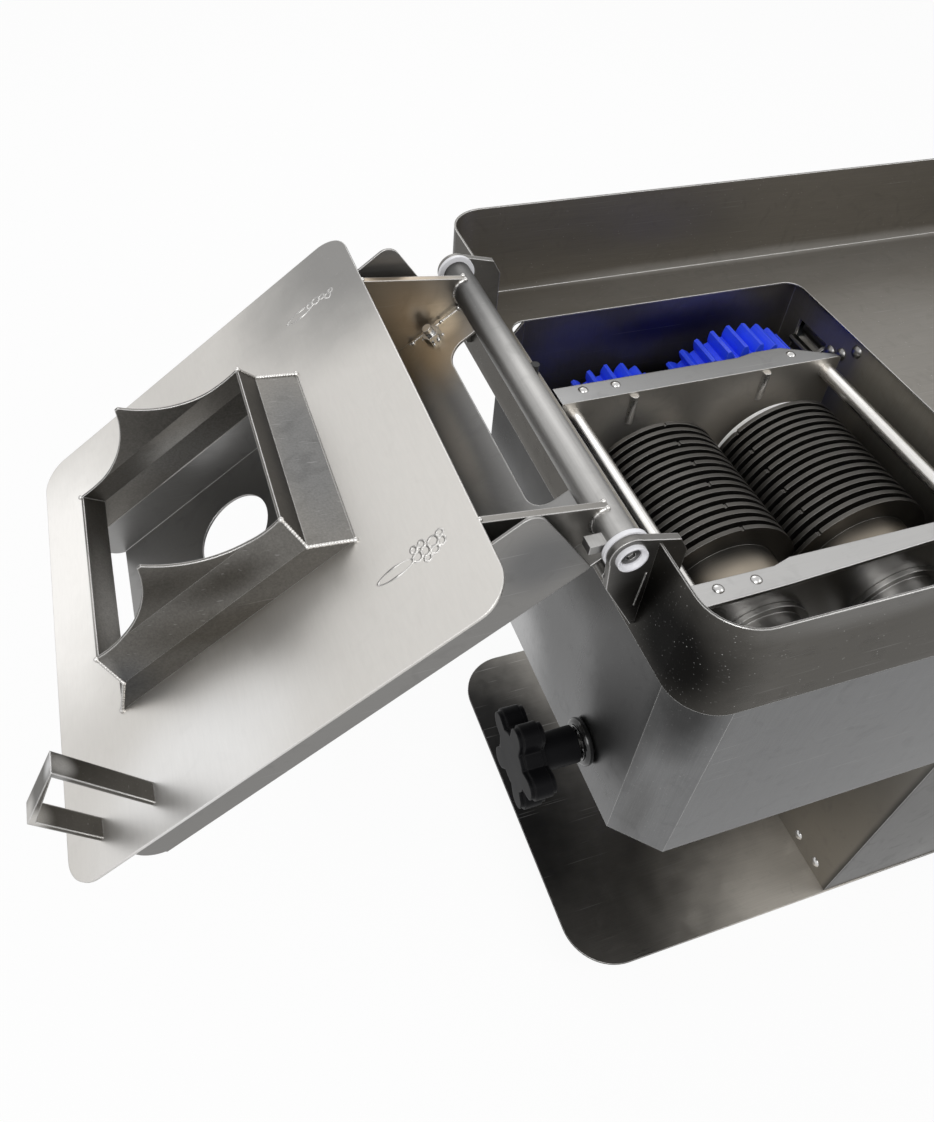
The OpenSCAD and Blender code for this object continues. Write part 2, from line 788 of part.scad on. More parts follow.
// Pivot: socket head sunk in the bush, a pin through it and a plug that fills the tube's end
plug_length = 16;
socket_r = 2.6;
module pivot() {
    difference() {
        union() {
            translate([0, 0, pivot_sunk]) cylinder(r = pivot_head_r, h = pivot_head_h);
            translate([0, 0, pivot_sunk]) cylinder(r = pivot_r, h = tube_y0);
            translate([0, 0, tube_y0]) cylinder(r = tube_bore_r, h = plug_length);
        }
        translate([0, 0, pivot_sunk - over]) cylinder(r = socket_r, h = pivot_head_h - over + over / 2, $fn = 6);
    }
}
module front_pivot() { color(steel_dark) place_lid() rotate([-90, 0, 0]) pivot(); }
module back_pivot() {
    color(steel_dark) place_lid() translate([0, hinge_length, 0]) rotate([90, 0, 0]) pivot();
}

// Stud with its nut, inside the hood beside the back gusset
stud_x = 32;
stud_y = 217;
stud_r = 3;
stud_length = 9;
nut_r = 5.8;
nut_h = 4.5;
module hood_stud() {
    color(steel_bright) place_lid() translate([stud_x, stud_y, hood_rise - shell_sheet]) mirror([0, 0, 1]) {
        cylinder(r = stud_r, h = stud_length);
        cylinder(r = nut_r, h = nut_h, $fn = 6);
    }
}

// Bent flat bar on the inner face; its far leg is shorter
module strap() {
    x0 = strap_left;
    x1 = strap_right;
    z0 = -lid_drop;
    za = z0 - strap_long;
    zb = z0 - strap_short;
    t = strap_t / 2;
    color(steel_bright) place_lid() wall_xz(strap_mid - strap_w / 2, strap_w)
        polygon([[x0 - t, z0], [x0 + t, z0], [x0 + t, za + 2 * t], [x1 - t, zb + 2 * t], [x1 - t, z0],
            [x1 + t, z0], [x1 + t, zb], [x0 - t, za]]);
}

// Cutter cassette
boss_r = 31;
boss_bevel = 6;
boss_h = 22;
rod_x = [cassette_left + rod_inset, cassette_right - rod_inset];
rod_z = [-rod_upper_drop, -rod_lower_drop];
bearing_r = 21;
module cassette_plate_outline() {
    difference() {
        round_rect(cassette_left, -cassette_bottom, cassette_right, -cassette_top, plate_corner_r);
        for (x = [left_x, right_x]) translate([x, -cutter_drop]) circle(r = bearing_r);
        for (x = rod_x, z = rod_z) translate([x, z]) circle(r = rod_r);
    }
}
plate_corner_r = 3;
// Small joggle in the edge of each flange: its place from the left end, its run and its depth
joggle_x = [60, 144];
joggle_run = [12, 14];
joggle_d = [3.5, 3];
// The front flange narrows to the right, which leaves room for the lid's strap
flange_narrow = [1.5, 10];
module front_flange_outline() {
    x1 = cassette_left + joggle_x[0];
    y0 = cassette_front - flange_w;
    polygon([[cassette_left, y0], [x1, y0 + flange_narrow[0]], [cassette_right, y0 + flange_narrow[1]],
        [cassette_right, cassette_front + joggle_d[0]], [x1 + joggle_run[0], cassette_front + joggle_d[0]],
        [x1, cassette_front], [cassette_left, cassette_front]]);
}
module front_plate() {
    color(steel) place() union() {
        wall_xz(cassette_front - plate_t, plate_t) cassette_plate_outline();
        translate([0, 0, -cassette_top - plate_t]) linear_extrude(plate_t) front_flange_outline();
    }
}
// The back flange ends in a slope at the right
flange_slope = [40, 3];
module back_flange_outline() {
    x1 = cassette_left + joggle_x[1];
    x2 = cassette_right - flange_slope[0];
    y1 = cassette_back + back_flange_w;
    polygon([[cassette_left, cassette_back], [cassette_right - flange_slope[1], cassette_back],
        [cassette_right - flange_slope[1], cassette_back + plate_t], [x2, y1],
        [x1 + joggle_run[1], y1], [x1, y1 - joggle_d[1]], [cassette_left, y1 - joggle_d[1]]]);
}
module back_plate() {
    color(steel) place() union() {
        wall_xz(cassette_back, plate_t) cassette_plate_outline();
        translate([0, 0, -cassette_top - plate_t]) linear_extrude(plate_t) back_flange_outline();
    }
}

rod_end = 2;
module tie_rods() {
    color(steel_bright) place() for (x = rod_x, z = rod_z)
        bar_y(x, z, cassette_front - plate_t - rod_end, cassette_back + plate_t + rod_end, rod_r);
}

rivet_r = 3.6;
rivet_h = 1.8;
rivet_share = [0.09, 0.2];
module rivet(x, y) {
    translate([x, y, -cassette_top]) rotate_extrude() intersection() {
        translate([0, rivet_h - rivet_ball]) circle(r = rivet_ball);
        square([rivet_r, rivet_h]);
    }
}
rivet_ball = (rivet_r * rivet_r + rivet_h * rivet_h) / (2 * rivet_h);
module plate_rivets() {
    w = cassette_right - cassette_left;
    color(steel_bright) place() {
        for (s = rivet_share) {
            rivet(cassette_left + w * s, cassette_front - flange_w * 0.38);
            rivet(cassette_left + w * s, cassette_back + back_flange_w * 0.55);
        }
        rivet(cassette_right - flange_slope[0] + rivet_r, cassette_back + back_flange_w * 0.55);
    }
}

// Short upright half round pins on the back plate, with a ball at the lower end
pin_r = 3;
pin_length = 25;
pin_x = [114, 219];
module guide_pins() {
    pin_top = -cassette_top - plate_t;
    color(steel_bright) place() for (x = pin_x) intersection() {
        translate([x, cassette_back, pin_top - pin_length]) {
            translate([0, 0, pin_r]) cylinder(r = pin_r, h = pin_length - pin_r);
            translate([0, 0, pin_r]) rotate_extrude() intersection() {
                circle(r = pin_r);
                translate([0, -pin_r]) square([pin_r, 2 * pin_r]);
            }
        }
        translate([x - pin_r, cassette_back - 2 * pin_r, pin_top - pin_length])
            cube([2 * pin_r, 2 * pin_r, pin_length]);
    }
}

// Stripper combs: a bar below each cutter, with a finger in each gap between the discs
comb_bar_w = 8;
comb_bar_h = 18;
comb_finger_h = 9;
comb_gap = 1.5;
comb_angle = 50;
module comb(x_axis, y0, angle) {
    inner = spacer_r + comb_gap;
    outer = disc_r + comb_gap;
    translate([x_axis, 0, -cutter_drop]) {
        wall_xz(cassette_front, cassette_back - cassette_front)
            rotate(angle) translate([outer, -comb_bar_h / 2]) square([comb_bar_w, comb_bar_h]);
        for (i = [0 : disc_count - 2])
            wall_xz(y0 + disc_t + i * disc_pitch + (disc_pitch - disc_t - finger_t) / 2, finger_t)
                rotate(angle) translate([inner, -comb_finger_h / 2])
                    square([outer - inner, comb_finger_h]);
    }
}
left_disc_front = disc_front + disc_pitch / 2;
module stripper_combs() {
    color(steel) place() {
        comb(left_x, left_disc_front, 180 + comb_angle);
        comb(right_x, disc_front, -comb_angle);
    }
}

// Plastic bearing housings on the outside of the cassette plates
boss_flange_r = 36;
boss_flange_h = 4;
module bearing() {
    difference() {
        union() {
            cylinder(r = bearing_r, h = plate_t + boss_h);
            translate([0, 0, plate_t]) cylinder(r = boss_flange_r, h = boss_flange_h);
            translate([0, 0, plate_t]) cylinder(r = boss_r, h = boss_h - boss_bevel);
            translate([0, 0, plate_t + boss_h - boss_bevel])
                cylinder(r1 = boss_r, r2 = boss_r - boss_bevel, h = boss_bevel);
        }
        translate([0, 0, -over]) cylinder(r = shaft_r + run, h = plate_t + boss_h + 2 * over);
    }
}
module front_bearings() {
    color(steel_dark) place() for (x = [left_x, right_x])
        translate([x, cassette_front, -cutter_drop]) rotate([90, 0, 0]) bearing();
}
module back_bearings() {
    color(steel_dark) place() for (x = [left_x, right_x])
        translate([x, cassette_back, -cutter_drop]) rotate([-90, 0, 0]) bearing();
}

// Cutters: discs on a spaced shaft; every third disc has small notches
hub_r = 24;
notch_every = 3;
left_notch_turn = 89;
right_notch_turn = 138;
module disc_outline(notched, turn) {
    difference() {
        circle(r = disc_r, $fn = 128);
        if (notched) for (k = [0 : notch_count - 1]) rotate(turn + k * 360 / notch_count)
            translate([disc_r, 0]) circle(r = notch_r);
    }
}
module cutter(y0, turn) {
    bar_y(0, 0, cassette_front - plate_t - boss_h - shaft_tail, gear_shaft_end, shaft_r);
    bar_y(0, 0, cassette_front + washer_gap, cassette_back - washer_gap, hub_r);
    bar_y(0, 0, cassette_front + washer_gap, y0 + disc_t, drum_r);
    bar_y(0, 0, y0, y0 + disc_pitch * (disc_count - 1) + disc_t, spacer_r);
    for (i = [0 : disc_count - 1]) wall_xz(y0 + i * disc_pitch, disc_t)
        disc_outline(i % notch_every == 0, turn);
}
module left_cutter() {
    color(steel_dark) place() translate([left_x, 0, -cutter_drop]) cutter(left_disc_front, left_notch_turn);
}
module right_cutter() {
    color(steel_dark) place() translate([right_x, 0, -cutter_drop]) cutter(disc_front, right_notch_turn);
}

// White washer behind each stack of discs
washer_back = left_disc_front + disc_pitch * (disc_count - 1) + disc_t + washer_gap;
module washer() {
    difference() {
        bar_y(0, 0, washer_back, washer_back + washer_t, washer_r);
        bar_y(0, 0, washer_back - over, washer_back + washer_t + over, hub_r);
    }
}
module left_washer() { color(white) place() translate([left_x, 0, -cutter_drop]) washer(); }
module right_washer() { color(white) place() translate([right_x, 0, -cutter_drop]) washer(); }

// Straight gears with involute flanks
pressure_angle = 20;
flank_steps = 5;
function involute(rb, a) = [rb * (cos(a) + a * PI / 180 * sin(a)), rb * (sin(a) - a * PI / 180 * cos(a))];
function roll_angle(rb, r) = sqrt(max(0, (r / rb) * (r / rb) - 1)) * 180 / PI;
function polar_angle(p) = atan2(p[1], p[0]);
function turn_point(p, a) = [p[0] * cos(a) - p[1] * sin(a), p[0] * sin(a) + p[1] * cos(a)];
module gear_outline(teeth) {
    rp = gear_module * teeth / 2;
    rb = rp * cos(pressure_angle);
    ra = rp + gear_module;
    rr = rp - 1.25 * gear_module;
    half = (PI * gear_module / 2 - backlash / 2) / 2 / rp * 180 / PI;
    lead = polar_angle(involute(rb, roll_angle(rb, rp)));
    start = max(rb, rr);
    a0 = roll_angle(rb, start);
    a1 = roll_angle(rb, ra);
    flank = [for (i = [0 : flank_steps]) involute(rb, a0 + (a1 - a0) * i / flank_steps)];
    right = [for (p = flank) turn_point(p, -half - lead)];
    left = [for (i = [flank_steps : -1 : 0]) [right[i][0], -right[i][1]]];
    foot = right[0] * rr * 0.9 / start;
    circle(r = rr);
    for (k = [0 : teeth - 1]) rotate(k * 360 / teeth)
        polygon(concat([foot], right, left, [[foot[0], -foot[1]]]));
}
module gear(teeth, turn, bore) {
    difference() {
        wall_xz(gear_front, gear_w) difference() {
            rotate(turn) gear_outline(teeth);
            circle(r = bore);
        }
        // Recessed web on both faces
        rim = gear_module * teeth / 2 - 3 * gear_module;
        if (rim > bore * 2) for (y = [gear_front - over, gear_back - gear_w / 5])
            difference() {
                bar_y(0, 0, y, y + gear_w / 5 + over, rim);
                bar_y(0, 0, y - over, y + gear_w / 5 + 2 * over, bore * 1.7);
            }
    }
}
module right_gear() {
    // A tooth points at the left cutter
    color(blue) place() translate([right_x, 0, -cutter_drop]) gear(right_teeth, 180, shaft_r);
}
module left_gear() {
    // A gap faces the right cutter
    color(blue) place() translate([left_x, 0, -cutter_drop]) gear(left_teeth, 180 / left_teeth, shaft_r);
}

// The pinion's gap faces a tooth of the right gear; wall_xz shows angles as seen from the front
right_phase = 180;
toward = pinion_angle;
near_tooth = round((toward - right_phase) / (360 / right_teeth));
tooth_lead = toward - right_phase - near_tooth * 360 / right_teeth;
pinion_turn = toward + 180 + 180 / pinion_teeth + tooth_lead * right_teeth / pinion_teeth;
cheek_r = pinion_pitch_r + gear_module + gap;
module drive_pinion() {
    color(steel_dark) place() translate([pinion_x, 0, pinion_z]) {
        gear(pinion_teeth, pinion_turn, drive_shaft_r);
        difference() {
            bar_y(0, 0, gear_front - washer_gap - cheek_t, gear_front - washer_gap, cheek_r);
            bar_y(0, 0, gear_front - washer_gap - cheek_t - over, gear_front, drive_shaft_r);
        }
        difference() {
            bar_y(0, 0, gear_front - washer_gap, gear_front, cheek_hub_r);
            bar_y(0, 0, gear_front - washer_gap - over, gear_front + over, drive_shaft_r);
        }
    }
}
cheek_hub_r = 12;

fan_h = 32;
gearbox_y0 = 80;
gearbox_y1 = 190;
gearbox_left = housing_left + shell_sheet + 2;
// Free room behind the fan cover
motor_room = 36.5;
gearbox_w = housing_right - shell_sheet - motor_room - fan_h - motor_length - gearbox_left;
gearbox_top = under_z - 8;
gearbox_h = 150;
motor_y = (gearbox_y0 + gearbox_y1) / 2;
motor_z = pinion_z - worm_offset;
shaft_y0 = 70;
bearing_y0 = 258;
bearing_w = 12;
module drive_shaft() {
    color(steel_bright) place() bar_y(pinion_x, pinion_z, shaft_y0, bearing_y0 + bearing_w, drive_shaft_r);
}
bearing_block_r = 13;
module shaft_bearing() {
    color(steel_dark) place() difference() {
        union() {
            bar_y(pinion_x, pinion_z, bearing_y0, bearing_y0 + bearing_w, bearing_block_r);
            translate([pinion_x - bearing_block_r, bearing_y0, gearbox_top - gearbox_h])
                cube([2 * bearing_block_r, bearing_w, pinion_z - gearbox_top + gearbox_h]);
        }
        bar_y(pinion_x, pinion_z, bearing_y0 - over, bearing_y0 + bearing_w + over, drive_shaft_r + run);
    }
}
gearbox_round = 10;
module gearbox() {
    color(steel_dark) place() difference() {
        wall_xz(gearbox_y0, gearbox_y1 - gearbox_y0)
            round_rect(gearbox_left, gearbox_top - gearbox_h, gearbox_left + gearbox_w, gearbox_top,
                gearbox_round);
        bar_y(pinion_x, pinion_z, gearbox_y0 - over, gearbox_y1 + over, drive_shaft_r + run);
    }
}
motor_x0 = gearbox_left + gearbox_w;
fin_count = 24;
fin_h = 5;
fin_t = 2;
module motor() {
    color(steel_dark) place() translate([motor_x0, motor_y, motor_z]) rotate([0, 90, 0]) linear_extrude(motor_length) {
        circle(r = motor_r - fin_h);
        for (k = [0 : fin_count - 1]) rotate(k * 360 / fin_count)
            translate([0, -fin_t / 2]) square([motor_r, fin_t]);
    }
}
fan_wall = 1.2;
module fan_cover() {
    color(black) place() translate([motor_x0 + motor_length, motor_y, motor_z]) rotate([0, 90, 0]) difference() {
        cylinder(r = motor_r, h = fan_h);
        translate([0, 0, -over]) cylinder(r = motor_r - fan_wall, h = fan_h - fan_wall + over);
        for (k = [0 : 5]) rotate(k * 60) translate([motor_r * 0.35, -fan_wall * 3, 0])
            cube([motor_r * 0.45, fan_wall * 6, fan_h + over]);
    }
}
shelf_t = 4;
module motor_shelf() {
    color(steel) place() translate([housing_left + shell_sheet, housing_front + shell_sheet,
        gearbox_top - gearbox_h - shelf_t])
        cube([housing_length - 2 * shell_sheet, housing_depth - 2 * shell_sheet, shelf_t]);
}

// Clamp: a star knob on a screw that presses a foot against the cassette's lower tie rod
ring_t = 7;
ring_r = 17;
foot_len = 6;
foot_pad_r = 7;
pad_x = rod_x[0] - rod_r - gap;
nut_len = 10;
screw_end = pad_x - foot_len / 2;
hub_x = chamber_left - knob_bare;
knob_x = hub_x - knob_hub - knob_t;
star_round = 9;
module star_outline(d) {
    waist = knob_r * 0.62 - d;
    lobe = knob_r - star_round;
    circle(r = waist);
    for (k = [0 : knob_lobes - 1]) rotate(90 + k * 360 / knob_lobes) {
        translate([lobe, 0]) circle(r = star_round - d);
        translate([0, d - star_round]) square([lobe, 2 * (star_round - d)]);
    }
}
crown_h = 3;
module star_knob() {
    color(black) place() translate([knob_x, knob_y, knob_z]) rotate([90, 0, 90]) difference() {
        union() {
            translate([0, 0, crown_h]) linear_extrude(knob_t - 2 * crown_h) star_outline(0);
            linear_extrude(knob_t) star_outline(crown_h / 2);
            translate([0, 0, knob_t]) cylinder(r = knob_hub_r, h = knob_hub);
        }
        translate([0, 0, knob_t]) cylinder(r = screw_r, h = knob_hub + over);
    }
}
module clamp_screw() {
    color(steel_bright) place() bar_x(knob_y, knob_z, knob_x + knob_t, screw_end, screw_r);
}
module clamp_foot() {
    color(steel_bright) place() difference() {
        bar_x(knob_y, knob_z, pad_x - foot_len, pad_x, foot_pad_r);
        bar_x(knob_y, knob_z, pad_x - foot_len - over, screw_end + run, screw_r + run);
    }
}
module wall_ring() {
    color(black) place() translate([chamber_left - ring_t, knob_y, knob_z]) rotate([0, 90, 0])
        rotate_extrude() union() {
            translate([ring_r - ring_t / 2, ring_t / 2]) circle(r = ring_t / 2);
            translate([screw_r + gap, ring_t * 0.55]) square([ring_r - ring_t / 2 - screw_r - gap, ring_t * 0.45]);
        }
}
module weld_nut() {
    color(steel) place() translate([chamber_left + shell_sheet, knob_y, knob_z]) rotate([0, 90, 0])
        difference() {
            cylinder(r = screw_r * 1.9, h = nut_len, $fn = 6);
            translate([0, 0, -over]) cylinder(r = screw_r + run, h = nut_len + 2 * over);
        }
}

// Switch plate with a start and a stop button on the housing's front
panel_t = 2;
button_h = 7;
button_stem = 16;
module switch_plate() {
    color(black) place() wall_xz(housing_front - panel_t, panel_t) difference() {
        round_rect(panel_x - panel_w / 2, -panel_drop - panel_h / 2, panel_x + panel_w / 2,
            -panel_drop + panel_h / 2, panel_h / 8);
        for (s = [-1, 1]) translate([panel_x + s * button_gap / 2, -panel_drop]) circle(r = stem_r + run);
    }
}
module button(s) {
    x = panel_x + s * button_gap / 2;
    y = housing_front - panel_t - button_travel - gap;
    bar_y(x, -panel_drop, y - button_h, y, button_r);
    bar_y(x, -panel_drop, y, y + button_stem, stem_r);
}
module start_button() { color("#2c8c3c") place() button(-1); }
module stop_button() { color("#c02018") place() button(1); }

module cable_gland() {
    color(black) place() difference() {
        union() {
            bar_y(gland_x, -axis_height + gland_rise, housing_back - shell_sheet, housing_back, gland_r);
            bar_y(gland_x, -axis_height + gland_rise, housing_back, housing_back + gland_r, gland_r * 1.3);
            bar_y(gland_x, -axis_height + gland_rise, housing_back + gland_r,
                housing_back + gland_r * 1.8, gland_r * 0.8);
        }
        bar_y(gland_x, -axis_height + gland_rise, housing_back - shell_sheet - over,
            housing_back + 2 * gland_r, gland_r * 0.4);
    }
}

base_plate();
rubber_feet();
motor_housing();
rear_cover();
rear_cover_screws();
housing_screws();
tray();
chamber_shell();
chamber_bolts();
cassette_rails();
front_ear();
back_ear();
lid_stops();
front_bush();
back_bush();
lid_buffers();
lid_plate();
throat();
hood();
front_gusset();
back_gusset();
hinge_tube();
front_pivot();
back_pivot();
hood_stud();
strap();
front_plate();
back_plate();
tie_rods();
plate_rivets();
guide_pins();
stripper_combs();
front_bearings();
back_bearings();
left_cutter();
left_washer();
left_gear();
right_cutter();
right_washer();
right_gear();
drive_pinion();
drive_shaft();
shaft_bearing();
gearbox();
motor();
fan_cover();
motor_shelf();
star_knob();
clamp_screw();
clamp_foot();
wall_ring();
weld_nut();
switch_plate();
start_button();
stop_button();
cable_gland();
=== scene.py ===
"""Looks of a stainless strip slicer with its lid swung open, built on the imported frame.

The file follows the machine as it is put together. Places on the machine are written in mm from the
front end of the hinge tube's axis: x to the right, y to the back, z up. Places on the lid are written
for the closed lid in the same way, and swing open with it.
"""
import math
import random

import bmesh
import bpy
from mathutils import Matrix, Vector


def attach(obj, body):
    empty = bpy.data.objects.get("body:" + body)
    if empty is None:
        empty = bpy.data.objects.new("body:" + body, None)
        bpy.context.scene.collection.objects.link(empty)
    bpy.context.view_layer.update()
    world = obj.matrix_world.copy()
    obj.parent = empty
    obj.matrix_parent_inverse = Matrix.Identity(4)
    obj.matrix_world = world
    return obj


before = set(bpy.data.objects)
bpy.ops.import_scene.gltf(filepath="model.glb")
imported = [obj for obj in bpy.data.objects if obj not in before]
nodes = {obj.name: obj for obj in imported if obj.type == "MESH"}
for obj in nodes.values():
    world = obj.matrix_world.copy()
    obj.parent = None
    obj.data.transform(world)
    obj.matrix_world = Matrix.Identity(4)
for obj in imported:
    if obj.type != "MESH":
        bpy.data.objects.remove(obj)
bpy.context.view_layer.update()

# ---------------------------------------------------------------------------------------------
# Studio: a pale floor under the feet, a white surround that polished metal also shows, and soft
# lamps. The camera stands where the photographer stood, close above the lid and left of the tray.
# ---------------------------------------------------------------------------------------------
PHOTO_WIDTH_PX = 934
FOCAL_PX = 899.4
SENSOR_MM = 36.0
CAMERA_PLACE = (-0.36335, -0.35373, 0.83227)
CAMERA_RIGHT = (0.942809, -0.327678, 0.061145)
CAMERA_UP = (0.205792, 0.716492, 0.666550)
CAMERA_BACK = (-0.262224, -0.615846, 0.742948)
FLOOR_COLOUR = (0.86, 0.86, 0.86, 1)
FLOOR_SIZE = 14.0
FLOOR_DROP = 0.0003
FLOOR_ROUGHNESS = 0.9
FLOOR_WHITE_SHARE = 0.93
WORLD_LIGHT = 0.55
LAMP_AIM = (0, 0, 0.4)

camera_data = bpy.data.cameras.new("camera")
camera_data.sensor_fit = "HORIZONTAL"
camera_data.sensor_width = SENSOR_MM
camera_data.lens = FOCAL_PX / PHOTO_WIDTH_PX * SENSOR_MM
camera_data.clip_start = 0.01
camera = bpy.data.objects.new("camera", camera_data)
bpy.context.scene.collection.objects.link(camera)
turn = Matrix((CAMERA_RIGHT, CAMERA_UP, CAMERA_BACK)).transposed()
camera.matrix_world = Matrix.Translation(CAMERA_PLACE) @ turn.to_4x4()
bpy.context.scene.camera = camera
bpy.context.scene.view_settings.view_transform = "Standard"


def add(tree, kind, inputs=None, **settings):
    """One shader node. An input is a value, or the output of another node."""
    made = tree.nodes.new("ShaderNode" + kind)
    for name, value in settings.items():
        setattr(made, name, value)
    for name, value in (inputs or {}).items():
        if isinstance(value, bpy.types.NodeSocket):
            tree.links.new(value, made.inputs[name])
        else:
            made.inputs[name].default_value = value
    return made


def seen_or_mirrored(tree):
    """1 on a ray from the camera, from a polished surface or through glass, else 0."""
    path = add(tree, "LightPath")
    seen = add(tree, "Math", {0: path.outputs["Is Camera Ray"], 1: path.outputs["Is Glossy Ray"]},
               operation="MAXIMUM")
    return add(tree, "Math", {0: seen.outputs[0], 1: path.outputs["Is Transmission Ray"]},
               operation="MAXIMUM").outputs[0]


world = bpy.data.worlds.new("studio")
bpy.context.scene.world = world
world.use_nodes = True
level = add(world.node_tree, "MapRange",
            {"Value": seen_or_mirrored(world.node_tree), "To Min": WORLD_LIGHT, "To Max": 1.0})
background = world.node_tree.nodes["Background"]
background.inputs["Color"].default_value = (1, 1, 1, 1)
world.node_tree.links.new(level.outputs["Result"], background.inputs["Strength"])


def lamp(name, place, size, power):
    """A square soft box that points at the machine."""
    data = bpy.data.lights.new(name, "AREA")
    data.size = size
    data.energy = power
    box = bpy.data.objects.new(name, data)
    box.location = place
    box.rotation_euler = (Vector(LAMP_AIM) - Vector(place)).to_track_quat("-Z", "Y").to_euler()
    bpy.context.scene.collection.objects.link(box)


lamp("key", (-0.9, -1.3, 2.2), 1.2, 22)
lamp("fill", (1.6, -1.0, 1.8), 1.4, 9)
lamp("back", (0.2, 2.0, 1.9), 1.4, 11)

floor_mesh = bpy.data.meshes.new("studio_floor")
half = FLOOR_SIZE / 2
floor_mesh.from_pydata([(-half, -half, 0), (half, -half, 0), (half, half, 0), (-half, half, 0)], [],
                       [(0, 1, 2, 3)])
floor = bpy.data.objects.new("studio_floor", floor_mesh)
bpy.context.scene.collection.objects.link(floor)
floor.location.z = -FLOOR_DROP
floor_paint = bpy.data.materials.new("studio_floor")
floor_paint.use_nodes = True
floor_tree = floor_paint.node_tree
floor_shader = floor_tree.nodes["Principled BSDF"]
floor_shader.inputs["Base Color"].default_value = FLOOR_COLOUR
floor_shader.inputs["Roughness"].default_value = FLOOR_ROUGHNESS
share = add(floor_tree, "Math", {0: seen_or_mirrored(floor_tree), 1: FLOOR_WHITE_SHARE}, operation="MULTIPLY")
blend = add(floor_tree, "MixShader", {0: share.outputs[0], 1: floor_shader.outputs[0],
                                      2: add(floor_tree, "Emission").outputs[0]})
floor_tree.links.new(blend.outputs[0], floor_tree.nodes["Material Output"].inputs["Surface"])
floor_mesh.materials.append(floor_paint)

# ---------------------------------------------------------------------------------------------
# Base plate on its rubber feet: a polished sheet with round corners. It is rolled and lightly
# brushed, so it has fine streaks, faint clouds and smears. Its cut edges carry a painted glint; a
# painted warm highlight lies at the front on the right, and a painted near-black shade and reflection
# on the left towards the back.
# ---------------------------------------------------------------------------------------------
HINGE_NOSE = Vector((-0.1869986, -0.1294, 0.537))
MM = 0.001
LID_OPEN = math.radians(144)


def at(x, y, z):
    """A place on the machine."""
    return HINGE_NOSE + Vector((x, y, z)) * MM


def on_lid(x, y, z):
    """A place on the open lid, written as for the closed lid."""
    return at(x * math.cos(LID_OPEN) + z * math.sin(LID_OPEN), y,
              -x * math.sin(LID_OPEN) + z * math.cos(LID_OPEN))


def shader_group(name, inputs, outputs):
    """An empty shader group with named sockets."""
    tree = bpy.data.node_groups.new(name, "ShaderNodeTree")
    for label, kind, default in inputs:
        socket = tree.interface.new_socket(name=label, in_out="INPUT", socket_type="NodeSocket" + kind)
        socket.default_value = default
    for label, kind in outputs:
        tree.interface.new_socket(name=label, in_out="OUTPUT", socket_type="NodeSocket" + kind)
    return tree, tree.nodes.new("NodeGroupInput"), tree.nodes.new("NodeGroupOutput")


def use_group(tree, group, inputs=None):
    """A shader group inside a material."""
    used = tree.nodes.new("ShaderNodeGroup")
    used.node_tree = group
    for name, value in (inputs or {}).items():
        if isinstance(value, bpy.types.NodeSocket):
            tree.links.new(value, used.inputs[name])
        else:
            used.inputs[name].default_value = value
    return used


def build_brushed_sheet():
    """Streaks along one axis, slow clouds, small smears and sparse scratches, each from 0 to 1."""
    tree, given, result = shader_group(
        "brushed_sheet", [("Streak Scale", "Vector", (30, 1400, 1400)), ("Cloud Scale", "Float", 9.0)],
        [("Streaks", "Float"), ("Clouds", "Float"), ("Smears", "Float"), ("Scratches", "Float")])
    place = add(tree, "TexCoord").outputs["Object"]
    long_way = add(tree, "VectorMath", {0: place, 1: given.outputs["Streak Scale"]}, operation="MULTIPLY")
    streaks = add(tree, "TexNoise", {"Vector": long_way.outputs[0], "Scale": 1.0, "Detail": 4.0,
                                     "Roughness": 0.65})
    clouds = add(tree, "TexNoise", {"Vector": place, "Scale": given.outputs["Cloud Scale"], "Detail": 3.0})
    smears = add(tree, "TexNoise", {"Vector": place, "Scale": 55.0, "Detail": 6.0, "Distortion": 1.4})
    sharp = add(tree, "MapRange", {"Value": smears.outputs["Fac"], "From Min": 0.55, "From Max": 0.75})
    tilted = add(tree, "Mapping", {"Vector": place, "Rotation": (0.5, 0.35, 0.8), "Scale": (18, 950, 950)})
    lines = add(tree, "TexNoise", {"Vector": tilted.outputs[0], "Scale": 1.0, "Detail": 1.0})
    sparse = add(tree, "MapRange", {"Value": lines.outputs["Fac"], "From Min": 0.70, "From Max": 0.78})
    for label, source in (("Streaks", streaks.outputs["Fac"]), ("Clouds", clouds.outputs["Fac"]),
                          ("Smears", sharp.outputs["Result"]), ("Scratches", sparse.outputs["Result"])):
        tree.links.new(source, result.inputs[label])
    return tree


def build_soft_patch():
    """1 in the middle of an egg-shaped patch with a ragged soft edge, 0 outside it."""
    tree, given, result = shader_group(
        "soft_patch", [("Centre", "Vector", (0, 0, 0)), ("Reach", "Vector", (1, 1, 1)),
                       ("Ragged", "Float", 0.35)], [("Patch", "Float")])
    place = add(tree, "TexCoord").outputs["Object"]
    away = add(tree, "VectorMath", {0: place, 1: given.outputs["Centre"]}, operation="SUBTRACT")
    parts = add(tree, "VectorMath", {0: away.outputs[0], 1: given.outputs["Reach"]}, operation="DIVIDE")
    length = add(tree, "VectorMath", {0: parts.outputs[0]}, operation="LENGTH")
    waver = add(tree, "TexNoise", {"Vector": place, "Scale": 22.0, "Detail": 3.0})
    centred = add(tree, "Math", {0: waver.outputs["Fac"], 1: 0.5}, operation="SUBTRACT")
    ragged = add(tree, "Math", {0: centred.outputs[0], 1: given.outputs["Ragged"],
                                2: length.outputs["Value"]}, operation="MULTIPLY_ADD")
    fall = add(tree, "MapRange", {"Value": ragged.outputs[0], "From Min": 1.0, "From Max": 0.2},
               interpolation_type="SMOOTHSTEP")
    tree.links.new(fall.outputs["Result"], result.inputs["Patch"])
    return tree


